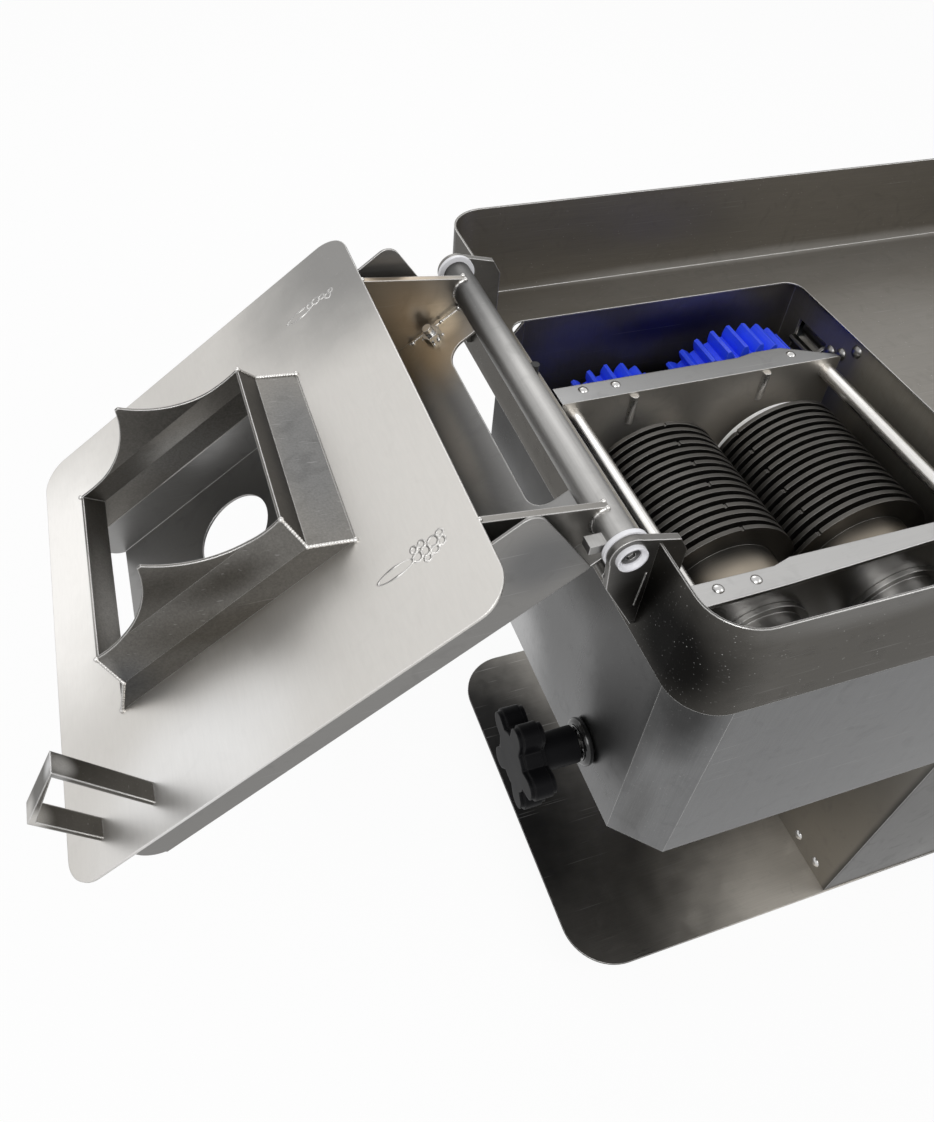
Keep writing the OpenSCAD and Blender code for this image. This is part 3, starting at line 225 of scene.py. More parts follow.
def build_inside_wall():
    """1 on faces that look towards a middle point: the inner faces of a box or a chute."""
    tree, given, result = shader_group("inside_wall", [("Centre", "Vector", (0, 0, 0))],
                                       [("Inside", "Float")])
    place = add(tree, "TexCoord")
    away = add(tree, "VectorMath", {0: place.outputs["Object"], 1: given.outputs["Centre"]},
               operation="SUBTRACT")
    facing = add(tree, "VectorMath", {0: away.outputs[0], 1: place.outputs["Normal"]},
                 operation="DOT_PRODUCT")
    inner = add(tree, "Math", {0: facing.outputs["Value"], 1: 0.0}, operation="LESS_THAN")
    tree.links.new(inner.outputs[0], result.inputs["Inside"])
    return tree


def build_cut_edge():
    """Where a sheet ends or bends sharply: a mask, and the slightly rounded normal there."""
    tree, given, result = shader_group("cut_edge", [("Radius", "Float", 0.0008)],
                                       [("Edge", "Float"), ("Normal", "Vector")])
    rounded = add(tree, "Bevel", {"Radius": given.outputs["Radius"]}, samples=6)
    flat = add(tree, "NewGeometry")
    agree = add(tree, "VectorMath", {0: rounded.outputs["Normal"], 1: flat.outputs["Normal"]},
                operation="DOT_PRODUCT")
    mask = add(tree, "MapRange", {"Value": agree.outputs["Value"], "From Min": 0.985, "From Max": 0.90})
    tree.links.new(mask.outputs["Result"], result.inputs["Edge"])
    tree.links.new(rounded.outputs["Normal"], result.inputs["Normal"])
    return tree


def build_dust():
    """Sparse fine specks of light dust, in loose groups."""
    tree, _, result = shader_group("dust", [], [("Specks", "Float")])
    place = add(tree, "TexCoord").outputs["Object"]
    cells = add(tree, "TexVoronoi", {"Vector": place, "Scale": 420.0})
    near = add(tree, "MapRange", {"Value": cells.outputs["Distance"], "From Min": 0.17, "From Max": 0.08})
    crowd = add(tree, "TexNoise", {"Vector": place, "Scale": 130.0, "Detail": 2.0})
    some = add(tree, "MapRange", {"Value": crowd.outputs["Fac"], "From Min": 0.56, "From Max": 0.62})
    both = add(tree, "Math", {0: near.outputs["Result"], 1: some.outputs["Result"]}, operation="MULTIPLY")
    tree.links.new(both.outputs[0], result.inputs["Specks"])
    return tree


brushed_sheet = build_brushed_sheet()
soft_patch = build_soft_patch()
inside_wall = build_inside_wall()
cut_edge = build_cut_edge()
dust = build_dust()


def mix_colour(tree, factor, first, second):
    """A colour between two; factor, first and second are sockets or plain values."""
    mix = add(tree, "Mix", data_type="RGBA")
    for name, value in (("Factor", factor), ("A", first), ("B", second)):
        if isinstance(value, bpy.types.NodeSocket):
            tree.links.new(value, mix.inputs[name])
        else:
            mix.inputs[name].default_value = value
    return [out for out in mix.outputs if out.type == "RGBA"][0]


def mix_number(tree, factor, low, high):
    """A number between low and high."""
    return add(tree, "MapRange", {"Value": factor, "To Min": low, "To Max": high}).outputs["Result"]


def grey(tone, warmth=0.0):
    """A metal colour; warmth moves it from neutral towards warm grey."""
    return (tone * (1 + warmth), tone, tone * (1 - 1.6 * warmth), 1)


# Pale steel: a painted glint on cut edges and bends, and the colour of scratches and dust specks.
GLINT_AND_WEAR_COLOUR = grey(0.72, 0.01)
SCRATCH_SHARE = 0.12
SMEAR_ROUGHNESS = 0.05
BUMP_STRENGTH = 0.5


def steel(name, dark, light, rough=(0.26, 0.40), streak=(30, 1400, 1400), patches=(), inside=None,
          edge=0.0008, edge_shine=0.55, dusty=0.0, bump=0.00002, clouds=9.0, streak_tone=0.18, rim=0.7,
          smear=0.10):
    """Stainless steel. Streak is the grain's scale along x, y and z. Patches are (centre, reach in mm,
    colour, added roughness); inside is (centre, colour, added roughness); edge and bump are in metres;
    rim is how much the colour pales at a glancing angle. The patches and the inside colour mostly paint
    light, shade and reflections onto the sheet, and edge_shine paints a glint on cut edges and bends."""
    paint = bpy.data.materials.new(name)
    paint.use_nodes = True
    tree = paint.node_tree
    shader = tree.nodes["Principled BSDF"]
    grain = use_group(tree, brushed_sheet, {"Streak Scale": streak, "Cloud Scale": clouds})
    colour = mix_colour(tree, grain.outputs["Clouds"], dark, light)
    gloss = mix_number(tree, grain.outputs["Streaks"], rough[0], rough[1])
    # Painted light: the inner faces get a colour of their own on the same sheet.
    if inside:
        inner = use_group(tree, inside_wall, {"Centre": inside[0]})
        colour = mix_colour(tree, inner.outputs["Inside"], colour, inside[1])
        gloss = add(tree, "Math", {0: inner.outputs["Inside"], 1: inside[2], 2: gloss},
                    operation="MULTIPLY_ADD").outputs[0]
    # Each patch paints a colour on a soft egg: most are painted light, shade and reflections.
    for centre, reach, tone, rougher in patches:
        patch = use_group(tree, soft_patch, {"Centre": centre, "Reach": Vector(reach) * MM})
        colour = mix_colour(tree, patch.outputs["Patch"], colour, tone)
        if rougher:
            gloss = add(tree, "Math", {0: patch.outputs["Patch"], 1: rougher, 2: gloss},
                        operation="MULTIPLY_ADD").outputs[0]
    lively = add(tree, "HueSaturation", {"Color": colour, "Value": mix_number(
        tree, grain.outputs["Streaks"], 1 - streak_tone, 1 + streak_tone)})
    worn = add(tree, "HueSaturation", {"Color": lively.outputs["Color"],
                                       "Value": mix_number(tree, grain.outputs["Smears"], 1.0, 1 - smear)})
    colour = mix_colour(tree, mix_number(tree, grain.outputs["Scratches"], 0.0, SCRATCH_SHARE),
                        worn.outputs["Color"], GLINT_AND_WEAR_COLOUR)
    if dusty:
        specks = use_group(tree, dust)
        colour = mix_colour(tree, mix_number(tree, specks.outputs["Specks"], 0.0, dusty), colour, GLINT_AND_WEAR_COLOUR)
    # Painted glint: cut edges and sharp bends are paled towards the glint colour.
    corner = use_group(tree, cut_edge, {"Radius": edge})
    colour = mix_colour(tree, mix_number(tree, corner.outputs["Edge"], 0.0, edge_shine), colour, GLINT_AND_WEAR_COLOUR)
    tree.links.new(colour, shader.inputs["Base Color"])
    smeared = add(tree, "Math", {0: grain.outputs["Smears"], 1: SMEAR_ROUGHNESS, 2: gloss},
                  operation="MULTIPLY_ADD")
    tree.links.new(smeared.outputs[0], shader.inputs["Roughness"])
    shader.inputs["Metallic"].default_value = 1.0
    shader.inputs["Specular Tint"].default_value = grey(rim)
    relief = add(tree, "Bump", {"Height": grain.outputs["Streaks"], "Distance": bump,
                                "Strength": BUMP_STRENGTH, "Normal": corner.outputs["Normal"]})
    tree.links.new(relief.outputs["Normal"], shader.inputs["Normal"])
    return paint


def dress(material, *names):
    """Gives CAD nodes one material."""
    for name in names:
        mesh = nodes[name].data
        mesh.materials.clear()
        mesh.materials.append(material)


base_steel = steel("base_steel", grey(0.16, 0.05), grey(0.22, 0.05), rough=(0.22, 0.30), rim=0.1, patches=(
    # Painted light: a warm highlight, then near-black shade and reflection.
    (at(260, -20, -510), (160, 130, 30), grey(0.50, 0.06), 0.26),
    (at(50, 170, -510), (140, 280, 30), grey(0.014, 0.01), 0.20)))
dress(base_steel, "base_plate")

# ---------------------------------------------------------------------------------------------
# Motor housing with its rear cover: thicker sheet, bent and welded, brushed upright. Its left wall
# carries a painted brown reflection and its front a painted shade. The shelf inside carries the drive.
# ---------------------------------------------------------------------------------------------
housing_steel = steel("housing_steel", grey(0.30, 0.02), grey(0.38, 0.02), streak=(1400, 1400, 40),
                      rough=(0.20, 0.30), streak_tone=0.04, bump=0.000008, patches=(
                          # Painted light: a brown reflection on the left wall, then shade on the front.
                          (at(289.5, 60, -400), (8, 420, 420), grey(0.36, 0.07), 0.16),
                          (at(330, -39, -400), (300, 8, 420), grey(0.11, 0.02), 0.05)))
dress(housing_steel, "motor_housing", "rear_cover", "motor_shelf")

# ---------------------------------------------------------------------------------------------
# Cutting chamber, the chute under the tray: four welded walls. Its left wall is polished like a
# mirror, with painted shade under the tray and a painted pale reflection near the open bottom. The
# top of the back wall carries a painted blue reflection of the gears and its middle painted shade;
# the inner faces are painted lighter, and the right wall has a painted light band high up.
# ---------------------------------------------------------------------------------------------
chamber_steel = steel(
    "chamber_steel", grey(0.165, -0.005), grey(0.185, -0.005), streak=(1400, 1400, 40), rough=(0.13, 0.24),
    # Painted light: the inner faces' tone and the patches below: shade, reflections and a light band.
    inside=(at(160, 120, -150), (0.22, 0.205, 0.18, 1), 0.25), patches=(
        (at(34.8, 120, -175), (12, 110, 90), grey(0.16, 0.0), 0.06),
        (at(34.8, 190, -270), (12, 110, 110), grey(0.50, 0.0), 0),
        (at(34.8, 120, -95), (14, 260, 75), grey(0.050, 0.02), 0),
        (at(34.8, 240, -105), (14, 70, 44), grey(0.030, 0.02), 0.1),
        (at(34.8, 16, -160), (10, 64, 110), grey(0.12, 0.0), 0.34),
        (at(45, -22, -112), (34, 26, 70), grey(0.050, 0.0), 0.06),
        (at(292, 150, -85), (8, 190, 60), (0.33, 0.31, 0.27, 1), 0.12),
        (at(44, -19, -235), (12, 12, 60), grey(0.14, 0.0), 0),
        (at(190, 274.1, -84), (140, 1.8, 26), (0.030, 0.030, 0.085, 1), 0.1),
        (at(180, 274.1, -130), (150, 1.8, 30), (0.030, 0.028, 0.022, 1), 0.1)))
dress(chamber_steel, "chamber_shell", "cassette_rails")

# ---------------------------------------------------------------------------------------------
# Tray: a deep-walled pan of brushed sheet, bent at round corners, with a painted glint on its cut rim.
# Its inner faces, floor, right end, a band where floor meets back wall and a band high on the front
# wall are painted lighter than its outer faces: painted light and shade. Its left front corner is
# painted near black, a painted shade and dark reflection. The tray holds specks of dust.
# ---------------------------------------------------------------------------------------------
tray_steel = steel(
    "tray_steel", grey(0.105, 0.06), grey(0.125, 0.05), rough=(0.18, 0.30), dusty=0.4, edge=0.0010, rim=0.55,
    # Painted light: lighter inner faces and lighter patches; the near-black corner patch is painted shade.
    edge_shine=0.85, inside=(at(330, 128, -20), grey(0.19, 0.08), 0.25), patches=(
        (at(330, 128, -60), (420, 240, 9), grey(0.26, 0.05), 0.0),
        (at(330, 300, -62), (420, 44, 14), grey(0.25, 0.05), 0.05),
        (at(330, 313, -60), (420, 6, 10), grey(0.34, 0.04), 0.10),
        (at(600, 128, 0), (50, 320, 90), grey(0.26, 0.05), 0.05),
        (at(16, -26, -36), (44, 66, 76), grey(0.008, 0.04), 0.1),
        (at(110, -56, 4), (120, 8, 18), grey(0.18, 0.03), 0.0)))
dress(tray_steel, "tray")

# ---------------------------------------------------------------------------------------------
# Hinge ears of thick sheet welded to the tray, dusty and with painted shade low down, with the stop
# pins that carry the open lid. White plastic bushes with a dished nose are pressed into them. The
# feet, the buffers and the ring round the knob's screw are black rubber.
# ---------------------------------------------------------------------------------------------
ear_steel = steel("ear_steel", grey(0.16, 0.03), grey(0.22, 0.03), edge=0.0009, edge_shine=0.7,
                  rough=(0.34, 0.46), dusty=0.4, patches=(
                      # Painted shade: the two dark patches low on the ear.
                      (at(6, 3, -31), (22, 14, 27), grey(0.06, 0.05), 0),
                      (at(14, 9, -36), (8, 14, 22), grey(0.012, 0.05), 0)))
dress(ear_steel, "front_ear", "back_ear", "lid_stops")


def build_moulded_skin():
    """Fine skin of a moulding: a speckle and a slow variation."""
    tree, _, result = shader_group("moulded_skin", [], [("Skin", "Float"), ("Patches", "Float")])
    place = add(tree, "TexCoord").outputs["Object"]
    skin = add(tree, "TexNoise", {"Vector": place, "Scale": 900.0, "Detail": 2.0})
    patches = add(tree, "TexNoise", {"Vector": place, "Scale": 40.0, "Detail": 3.0})
    tree.links.new(skin.outputs["Fac"], result.inputs["Skin"])
    tree.links.new(patches.outputs["Fac"], result.inputs["Patches"])
    return tree


moulded_skin = build_moulded_skin()
SKIN_HEIGHT = 0.00004
SKIN_STRENGTH = 0.4
RUBBED_PALER = 0.25


def plastic(name, dark, light, rough=(0.3, 0.42), edge=0.0008, rubbed=0.1, sheen_level=0.5):
    """Moulded plastic, rubber or paint, a little lighter where its edges are rubbed."""
    paint = bpy.data.materials.new(name)
    paint.use_nodes = True
    tree = paint.node_tree
    shader = tree.nodes["Principled BSDF"]
    moulding = use_group(tree, moulded_skin)
    corner = use_group(tree, cut_edge, {"Radius": edge})
    colour = mix_colour(tree, moulding.outputs["Patches"], dark, light)
    pale = tuple(min(1.0, part + RUBBED_PALER) for part in light[:3]) + (1,)
    colour = mix_colour(tree, mix_number(tree, corner.outputs["Edge"], 0.0, rubbed), colour, pale)
    tree.links.new(colour, shader.inputs["Base Color"])
    tree.links.new(mix_number(tree, moulding.outputs["Patches"], rough[0], rough[1]),
                   shader.inputs["Roughness"])
    shader.inputs["Specular IOR Level"].default_value = sheen_level
    relief = add(tree, "Bump", {"Height": moulding.outputs["Skin"], "Distance": SKIN_HEIGHT,
                                "Strength": SKIN_STRENGTH, "Normal": corner.outputs["Normal"]})
    tree.links.new(relief.outputs["Normal"], shader.inputs["Normal"])
    return paint


bush_white = plastic("bush_white", (0.74, 0.74, 0.77, 1), (0.84, 0.84, 0.87, 1), rubbed=0.0)
ring_black = plastic("ring_black", (0.006, 0.006, 0.006, 1), (0.010, 0.010, 0.010, 1), rough=(0.08, 0.16),
                     rubbed=0.0)
rubber_black = plastic("rubber_black", (0.012, 0.012, 0.012, 1), (0.03, 0.03, 0.03, 1), rough=(0.45, 0.65))
dress(bush_white, "front_bush", "back_bush")
dress(rubber_black, "rubber_feet", "lid_buffers")
dress(ring_black, "wall_ring")

# ---------------------------------------------------------------------------------------------
# Lid plate: a satin plate, with painted light towards its free end and by its front edge, and
# painted shade near the hinge at its back. Weld heat from the parts behind it left small rings and
# faint lines on its face.
# ---------------------------------------------------------------------------------------------
LID_FACE = -52.2
lid_steel = steel(
    "lid_steel", grey(0.60, 0.03), grey(0.66, 0.03), rough=(0.36, 0.44), streak=(700, 90, 700), bump=0.000006,
    edge=0.0010, edge_shine=0.5, clouds=6.0, streak_tone=0.05, smear=0.02, patches=(
        # Painted light: shade near the hinge, then light at the free end and by the front edge.
        (on_lid(40, 262, LID_FACE), (120, 110, 120), grey(0.29, 0.02), 0),
        (on_lid(300, 190, LID_FACE), (130, 150, 130), grey(0.97, 0.02), 0),
        (on_lid(215, 0, LID_FACE), (90, 60, 90), grey(0.78, 0.01), 0)))
dress(lid_steel, "lid_plate")


def new_piece(name, shape, material, body):
    """Turns a bmesh into a piece that rides on a body."""
    mesh = bpy.data.meshes.new(name)
    shape.to_mesh(mesh)
    shape.free()
    mesh.materials.append(material)
    for face in mesh.polygons:
        face.use_smooth = True
    piece = bpy.data.objects.new(name, mesh)
    bpy.context.scene.collection.objects.link(piece)
    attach(piece, body)


BEAD_SIDES = 10
BEAD_STEP = 0.45
TAPER_STEPS = 6


def weld_bead(shape, places, radius, luck, ripple=0.16):
    """A rippled bead along a line of places; its ends taper. The radius is in mm."""
    steps = []
    for first, second in zip(places, places[1:]):
        count = max(2, round((second - first).length / (radius * BEAD_STEP * MM)))
        steps += [first.lerp(second, i / count) for i in range(count)]
    steps.append(places[-1])
    along = (places[-1] - places[0]).normalized()
    side = along.orthogonal().normalized()
    rings = []
    for i, place in enumerate(steps):
        if 0 < i < len(steps) - 1:
            along = (steps[i + 1] - steps[i - 1]).normalized()
            side = (side - along * side.dot(along)).normalized()
        up = along.cross(side)
        taper = math.sin(math.pi * min(0.5, (min(i, len(steps) - 1 - i) + 0.35) / TAPER_STEPS))
        reach = radius * MM * taper * (1 + ripple * math.sin(i * 1.7) + luck.uniform(-0.08, 0.08))
        rings.append([shape.verts.new(place + side * reach * math.cos(t) + up * reach * math.sin(t))
                      for t in [k * math.tau / BEAD_SIDES for k in range(BEAD_SIDES)]])
    for one, two in zip(rings, rings[1:]):
        for k in range(BEAD_SIDES):
            after = (k + 1) % BEAD_SIDES
            shape.faces.new((one[k], one[after], two[after], two[k]))
    shape.faces.new(list(reversed(rings[0])))
    shape.faces.new(rings[-1])


def drop(shape, place, radius, luck):
    """A small round drop of weld metal, a little out of true."""
    made = bmesh.ops.create_icosphere(shape, subdivisions=2, radius=radius * MM)
    for corner in made["verts"]:
        corner.co = corner.co * luck.uniform(0.92, 1.08) + place


RING_STEPS = 28


def heat_ring(shape, place, half_long, half_short, width, height, luck):
    """A low soft ridge round an egg on the lid's face, as a tack behind the sheet leaves it."""
    bump = [(-1.2, -0.06), (-1, -0.002), (-0.66, 0.25 * height), (-0.33, 0.75 * height), (0, height),
            (0.33, 0.75 * height), (0.66, 0.25 * height), (1, -0.002), (1.2, -0.06)]
    stretch = luck.uniform(0.85, 1.15)
    rings = []
    for i in range(RING_STEPS):
        angle = i * math.tau / RING_STEPS
        out = lid_along * math.cos(angle) * half_long * stretch + lid_across * math.sin(angle) * half_short
        rings.append([shape.verts.new(place + (out + out.normalized() * u * width + lid_out * h) * MM)
                      for u, h in bump])
    for i in range(RING_STEPS):
        one, two = rings[i], rings[(i + 1) % RING_STEPS]
        for k in range(len(bump)):
            after = (k + 1) % len(bump)
            shape.faces.new((one[k], one[after], two[after], two[k]))


lid_along = (on_lid(1, 0, 0) - on_lid(0, 0, 0)).normalized()
lid_across = Vector((0, 1, 0))
lid_out = (on_lid(0, 0, -1) - on_lid(0, 0, 0)).normalized()
luck = random.Random(7)
marks = bmesh.new()
for x, y, r in ((73.9, 240.2, 2.6), (65.5, 236.5, 2.2), (69.5, 239.6, 1.8), (78.6, 240.1, 2.0),
                (63.0, 239.0, 1.5), (66.0, 33.0, 2.8), (71.0, 31.0, 2.6), (75.5, 30.6, 2.4),
                (62.0, 30.5, 2.2), (66.4, 28.4, 2.0), (71.5, 35.6, 2.0), (76.0, 35.4, 1.8),
                (71.0, 26.8, 1.8), (61.5, 35.0, 1.7)):
    heat_ring(marks, on_lid(x, y, LID_FACE), r, r, 0.8, 0.03, luck)
heat_ring(marks, on_lid(86, 239, LID_FACE), 11, 2.8, 0.9, 0.022, luck)
heat_ring(marks, on_lid(88, 30.8, LID_FACE), 11, 2.8, 0.9, 0.022, luck)
new_piece("lid_heat_marks", marks, lid_steel, "lid")

# ---------------------------------------------------------------------------------------------
# Throat: four bent walls welded at their corners, of grainy unbrushed sheet. The front and back
# walls end in scoops that clear the cutters. The corner beads stand proud and end in bright tips.
# Its inner faces are painted lighter, its front and left walls carry painted shade and its back and
# right walls painted light.
# ---------------------------------------------------------------------------------------------
throat_steel = steel(
    "throat_steel", grey(0.13, 0.05), grey(0.16, 0.04), rough=(0.34, 0.48), streak=(850, 850, 850),
    bump=0.00012, streak_tone=0.42, edge=0.0010, edge_shine=0.8, rim=0.35,
    # Painted light and shade: the lighter inner faces and the patches below.
    inside=(on_lid(178, 128, -75), grey(0.24, 0.05), 0.0), patches=(
        (on_lid(106, 130, -60), (26, 90, 26), grey(0.12, 0.01), 0),
        (on_lid(185, 60, -62), (110, 12, 20), grey(0.10, 0.07), 0),
        (on_lid(240, 62, -66), (26, 12, 26), grey(0.11, 0.0), 0),
        (on_lid(180, 66, -94), (90, 7, 22), grey(0.055, 0.08), 0),
        (on_lid(190, 196, -74), (70, 14, 30), grey(0.32, 0.03), 0),
        (on_lid(240, 110, -73), (12, 60, 20), grey(0.60, 0.03), 0)))
dress(throat_steel, "throat")
THROAT_X = (101.0, 255.5)
THROAT_Y = (61.7, 194.7)
THROAT_LEAN = (17.5, 8.0)
THROAT_BENDS = (15.0, 31.0)
weld_bright = steel("weld_bright", grey(0.50, 0.02), grey(0.66, 0.02), rough=(0.20, 0.34), edge_shine=0.3,
                    streak=(500, 500, 500))
luck = random.Random(11)
seams = bmesh.new()
for x, inward in ((THROAT_X[0], 1), (THROAT_X[1], -1)):
    for y, deeper in ((THROAT_Y[0], 1), (THROAT_Y[1], -1)):
        foot = on_lid(x, y, LID_FACE - 0.2)
        bend = on_lid(x + inward * THROAT_LEAN[0], y, LID_FACE - THROAT_BENDS[0])
        top = on_lid(x + inward * THROAT_LEAN[0], y + deeper * THROAT_LEAN[1], LID_FACE - THROAT_BENDS[1])
        weld_bead(seams, [foot, bend, top], 0.9, luck)
        drop(seams, foot, 1.7, luck)
        drop(seams, bend, 1.2, luck)
        drop(seams, top, 1.5, luck)
new_piece("throat_seams", seams, weld_bright, "lid")

# ---------------------------------------------------------------------------------------------
# Hood over the throat, with two gussets that carry it on the hinge tube. The hood and the back
# gusset are brown at the hood's back corner, where a seam, three tacks and a welded stud with its
# nut sit. By the stud the hood carries a painted highlight; the middle of its top and its inner
# faces are painted lighter and its front side darker: painted light and shade.
# ---------------------------------------------------------------------------------------------
hood_steel = steel(
    "hood_steel", grey(0.22, 0.02), grey(0.28, 0.02), rough=(0.34, 0.44), edge_shine=0.6, streak_tone=0.08,
    # Painted light and shade: lighter inner faces, a highlight by the stud, a lighter top, a darker front
    # side.
    inside=(on_lid(160, 126, -25), grey(0.30, 0.01), 0.0), patches=(
        (on_lid(46, 214, 3), (58, 54, 36), (0.46, 0.385, 0.285, 1), 0),
        (on_lid(22, 222, 3), (20, 18, 10), (0.85, 0.76, 0.62, 1), 0),
        (on_lid(50, 140, 3), (44, 80, 6), grey(0.52, 0.05), 0),
        (on_lid(34, 13, -22), (30, 6, 30), grey(0.17, 0.0), 0)))
gusset_steel = steel("gusset_steel", grey(0.20, 0.04), grey(0.28, 0.04), rough=(0.32, 0.44), edge=0.0010,
                     edge_shine=0.75, streak_tone=0.08, patches=(
                         (on_lid(38, 228, -28), (50, 14, 50), (0.36, 0.30, 0.23, 1), 0),))
dress(hood_steel, "hood")
dress(gusset_steel, "front_gusset", "back_gusset")
HOOD_SKIN = 3.5
GUSSET_Y = (28.5, 228.6)
GUSSET_HALF = 2.0
TUBE_WELD_R = 8.9
GUSSET_FOOT_Z = -50.4
luck = random.Random(23)
fillets = bmesh.new()
weld_bead(fillets, [on_lid(8, 223.4, HOOD_SKIN - 0.1), on_lid(48, 225.2, HOOD_SKIN - 0.1)], 0.55, luck)
for x, r in ((10, 1.6), (23.5, 1.3), (45, 1.5)):
    drop(fillets, on_lid(x, 224, HOOD_SKIN - 0.2), r, luck)
for x, y, r in ((30, 211.5, 1.4), (33.8, 210.4, 1.0), (26.4, 213.4, 1.1), (38.6, 221.4, 0.8),
                (27.2, 221.8, 0.9)):
    drop(fillets, on_lid(x, y, HOOD_SKIN), r, luck)
for y in GUSSET_Y:
    for face in (-1, 1):
        arc = [on_lid(TUBE_WELD_R * math.cos(a), y + face * (GUSSET_HALF + 0.2), TUBE_WELD_R * math.sin(a))
               for a in [math.radians(d) for d in (-112, -90, -68, -46, -24, -2, 16)]]
        weld_bead(fillets, arc, 1.15, luck, 0.05)
        drop(fillets, arc[0], 1.5, luck)
        weld_bead(fillets, [on_lid(43.5, y + face * GUSSET_HALF, GUSSET_FOOT_Z),
                            on_lid(62, y + face * GUSSET_HALF, GUSSET_FOOT_Z)], 0.9, luck)
    drop(fillets, on_lid(42.9, y, -50.8), 1.5, luck)
new_piece("gusset_fillets", fillets, weld_bright, "lid")

# ---------------------------------------------------------------------------------------------
# Weld line under the front ear's lug: a thin dull bead along the edge of the ear's plate, begun
# with a small drop. It has the ear's material, with its dust and its painted shade.
# ---------------------------------------------------------------------------------------------
ear_seam = bmesh.new()
weld_bead(ear_seam, [at(11.2, 2.4, -14), at(9.5, 2.4, -38)], 0.5, luck)
drop(ear_seam, at(11.0, 2.3, -15), 0.9, luck)
new_piece("ear_seam", ear_seam, ear_steel, "frame")

# ---------------------------------------------------------------------------------------------
# Hinge tube: drawn pipe with a satin skin, bright in front and darker towards the back ear.
# Rods and pins are bright drawn bar, screws and rivets a little greyer, bolts and pivots dull.
# ---------------------------------------------------------------------------------------------
tube_steel = steel("tube_steel", grey(0.35, 0.015), grey(0.42, 0.015), rough=(0.42, 0.50),
                   streak=(900, 20, 900), edge_shine=0.3, patches=(
                       (at(0, 262, 0), (30, 150, 30), grey(0.10, 0.01), 0),))
bar_steel = steel("bar_steel", grey(0.66, 0.02), grey(0.84, 0.02), rough=(0.22, 0.34),
                  streak=(1400, 30, 1400), edge=0.0005)
screw_steel = steel("screw_steel", grey(0.46, 0.01), grey(0.62, 0.01), rough=(0.16, 0.28), edge=0.0005)
bolt_steel = steel("bolt_steel", grey(0.20, 0.01), grey(0.30, 0.01), rough=(0.26, 0.38), edge=0.0005)
dress(tube_steel, "hinge_tube")
dress(bar_steel, "tie_rods", "guide_pins", "clamp_screw", "clamp_foot", "drive_shaft")
dress(screw_steel, "hood_stud", "plate_rivets", "housing_screws", "rear_cover_screws", "weld_nut")
dress(bolt_steel, "chamber_bolts", "front_pivot", "back_pivot")

# ---------------------------------------------------------------------------------------------
# Strap, the lid's handle: a bent flat bar, dark, with a painted glint on its edges, painted
# highlights at and past its bend, and a small darker spot between them.
# Its two feet are plug welded to the plate from behind.
# ---------------------------------------------------------------------------------------------
strap_steel = steel("strap_steel", grey(0.08, 0.07), grey(0.11, 0.06), rough=(0.26, 0.36), edge=0.0012,
                    edge_shine=0.85, patches=(
                        # Painted highlights at and past the bend, then a darker spot between them.
                        (on_lid(243, 6, -105), (10, 8, 12), grey(0.80, 0.0), 0),
                        (on_lid(276, 4, -92), (12, 12, 16), grey(0.62, 0.03), 0),
                        (on_lid(262, 8, -102), (12, 6, 10), grey(0.09, 0.08), 0)))
dress(strap_steel, "strap")

# ---------------------------------------------------------------------------------------------
# Cassette: two bent plates held apart by tie rods, on rails in the chamber. The front plate is
# painted bright and the back plate greyer, painted light and shade, and both are painted lighter on
# their inner faces. Combs strip the meat from the discs from below.
# ---------------------------------------------------------------------------------------------
CASSETTE_MIDDLE = at(170, 112, -150)
# Painted light: the front plate brighter than the back one, and both lighter on their inner faces.
front_plate_steel = steel("front_plate_steel", grey(0.44, 0.01), grey(0.52, 0.01), rough=(0.26, 0.36),
                          streak_tone=0.06, edge_shine=0.7,
                          inside=(CASSETTE_MIDDLE, grey(0.55, 0.03), 0.15))
back_plate_steel = steel("back_plate_steel", grey(0.27, 0.0), grey(0.34, 0.0), rough=(0.26, 0.36),
                         streak_tone=0.06, edge_shine=0.8,
                         inside=(CASSETTE_MIDDLE, grey(0.50, 0.05), 0.15), patches=(
                             (at(117, 194, -107), (34, 8, 30), grey(0.30, 0.02), 0),))
comb_steel = steel("comb_steel", grey(0.20, 0.02), grey(0.30, 0.02), edge=0.0005)
dress(front_plate_steel, "front_plate")
dress(back_plate_steel, "back_plate")
dress(comb_steel, "stripper_combs")

# ---------------------------------------------------------------------------------------------
# Bearing housings and the two cutters. The discs are ground on both faces and dark; the drums carry
# a painted brown highlight at their front ends, and the turned parts' cut edges a painted glint. The
# ring marks of the turning show on discs, drums and the white washers.
# ---------------------------------------------------------------------------------------------


def build_turned_rings():
    """Ring marks round an axis that runs from front to back, and marks along it."""
    tree, given, result = shader_group("turned_rings", [("Axis", "Vector", (0, 0, 0))],
                                       [("Rings", "Float")])
    place = add(tree, "TexCoord").outputs["Object"]
    away = add(tree, "VectorMath", {0: place, 1: given.outputs["Axis"]}, operation="SUBTRACT")
    parts = add(tree, "SeparateXYZ", {0: away.outputs[0]})
    flat = add(tree, "CombineXYZ", {"X": parts.outputs["X"], "Z": parts.outputs["Z"]})
    radius = add(tree, "VectorMath", {0: flat.outputs[0]}, operation="LENGTH")
    line = add(tree, "CombineXYZ", {"X": radius.outputs["Value"], "Y": parts.outputs["Y"]})
    rings = add(tree, "TexNoise", {"Vector": line.outputs[0], "Scale": 900.0, "Detail": 3.0})
    tree.links.new(rings.outputs["Fac"], result.inputs["Rings"])
    return tree


turned_rings = build_turned_rings()
DRUM_END = Vector((0, -82, 0)) * MM
DRUM_END_REACH = Vector((400, 24, 400)) * MM
DRUM_END_HIGHLIGHT = (0.32, 0.28, 0.225, 1)
TURNED_EDGE = 0.0005
RING_HEIGHT = 0.00003
RING_TONE = (0.7, 1.3)


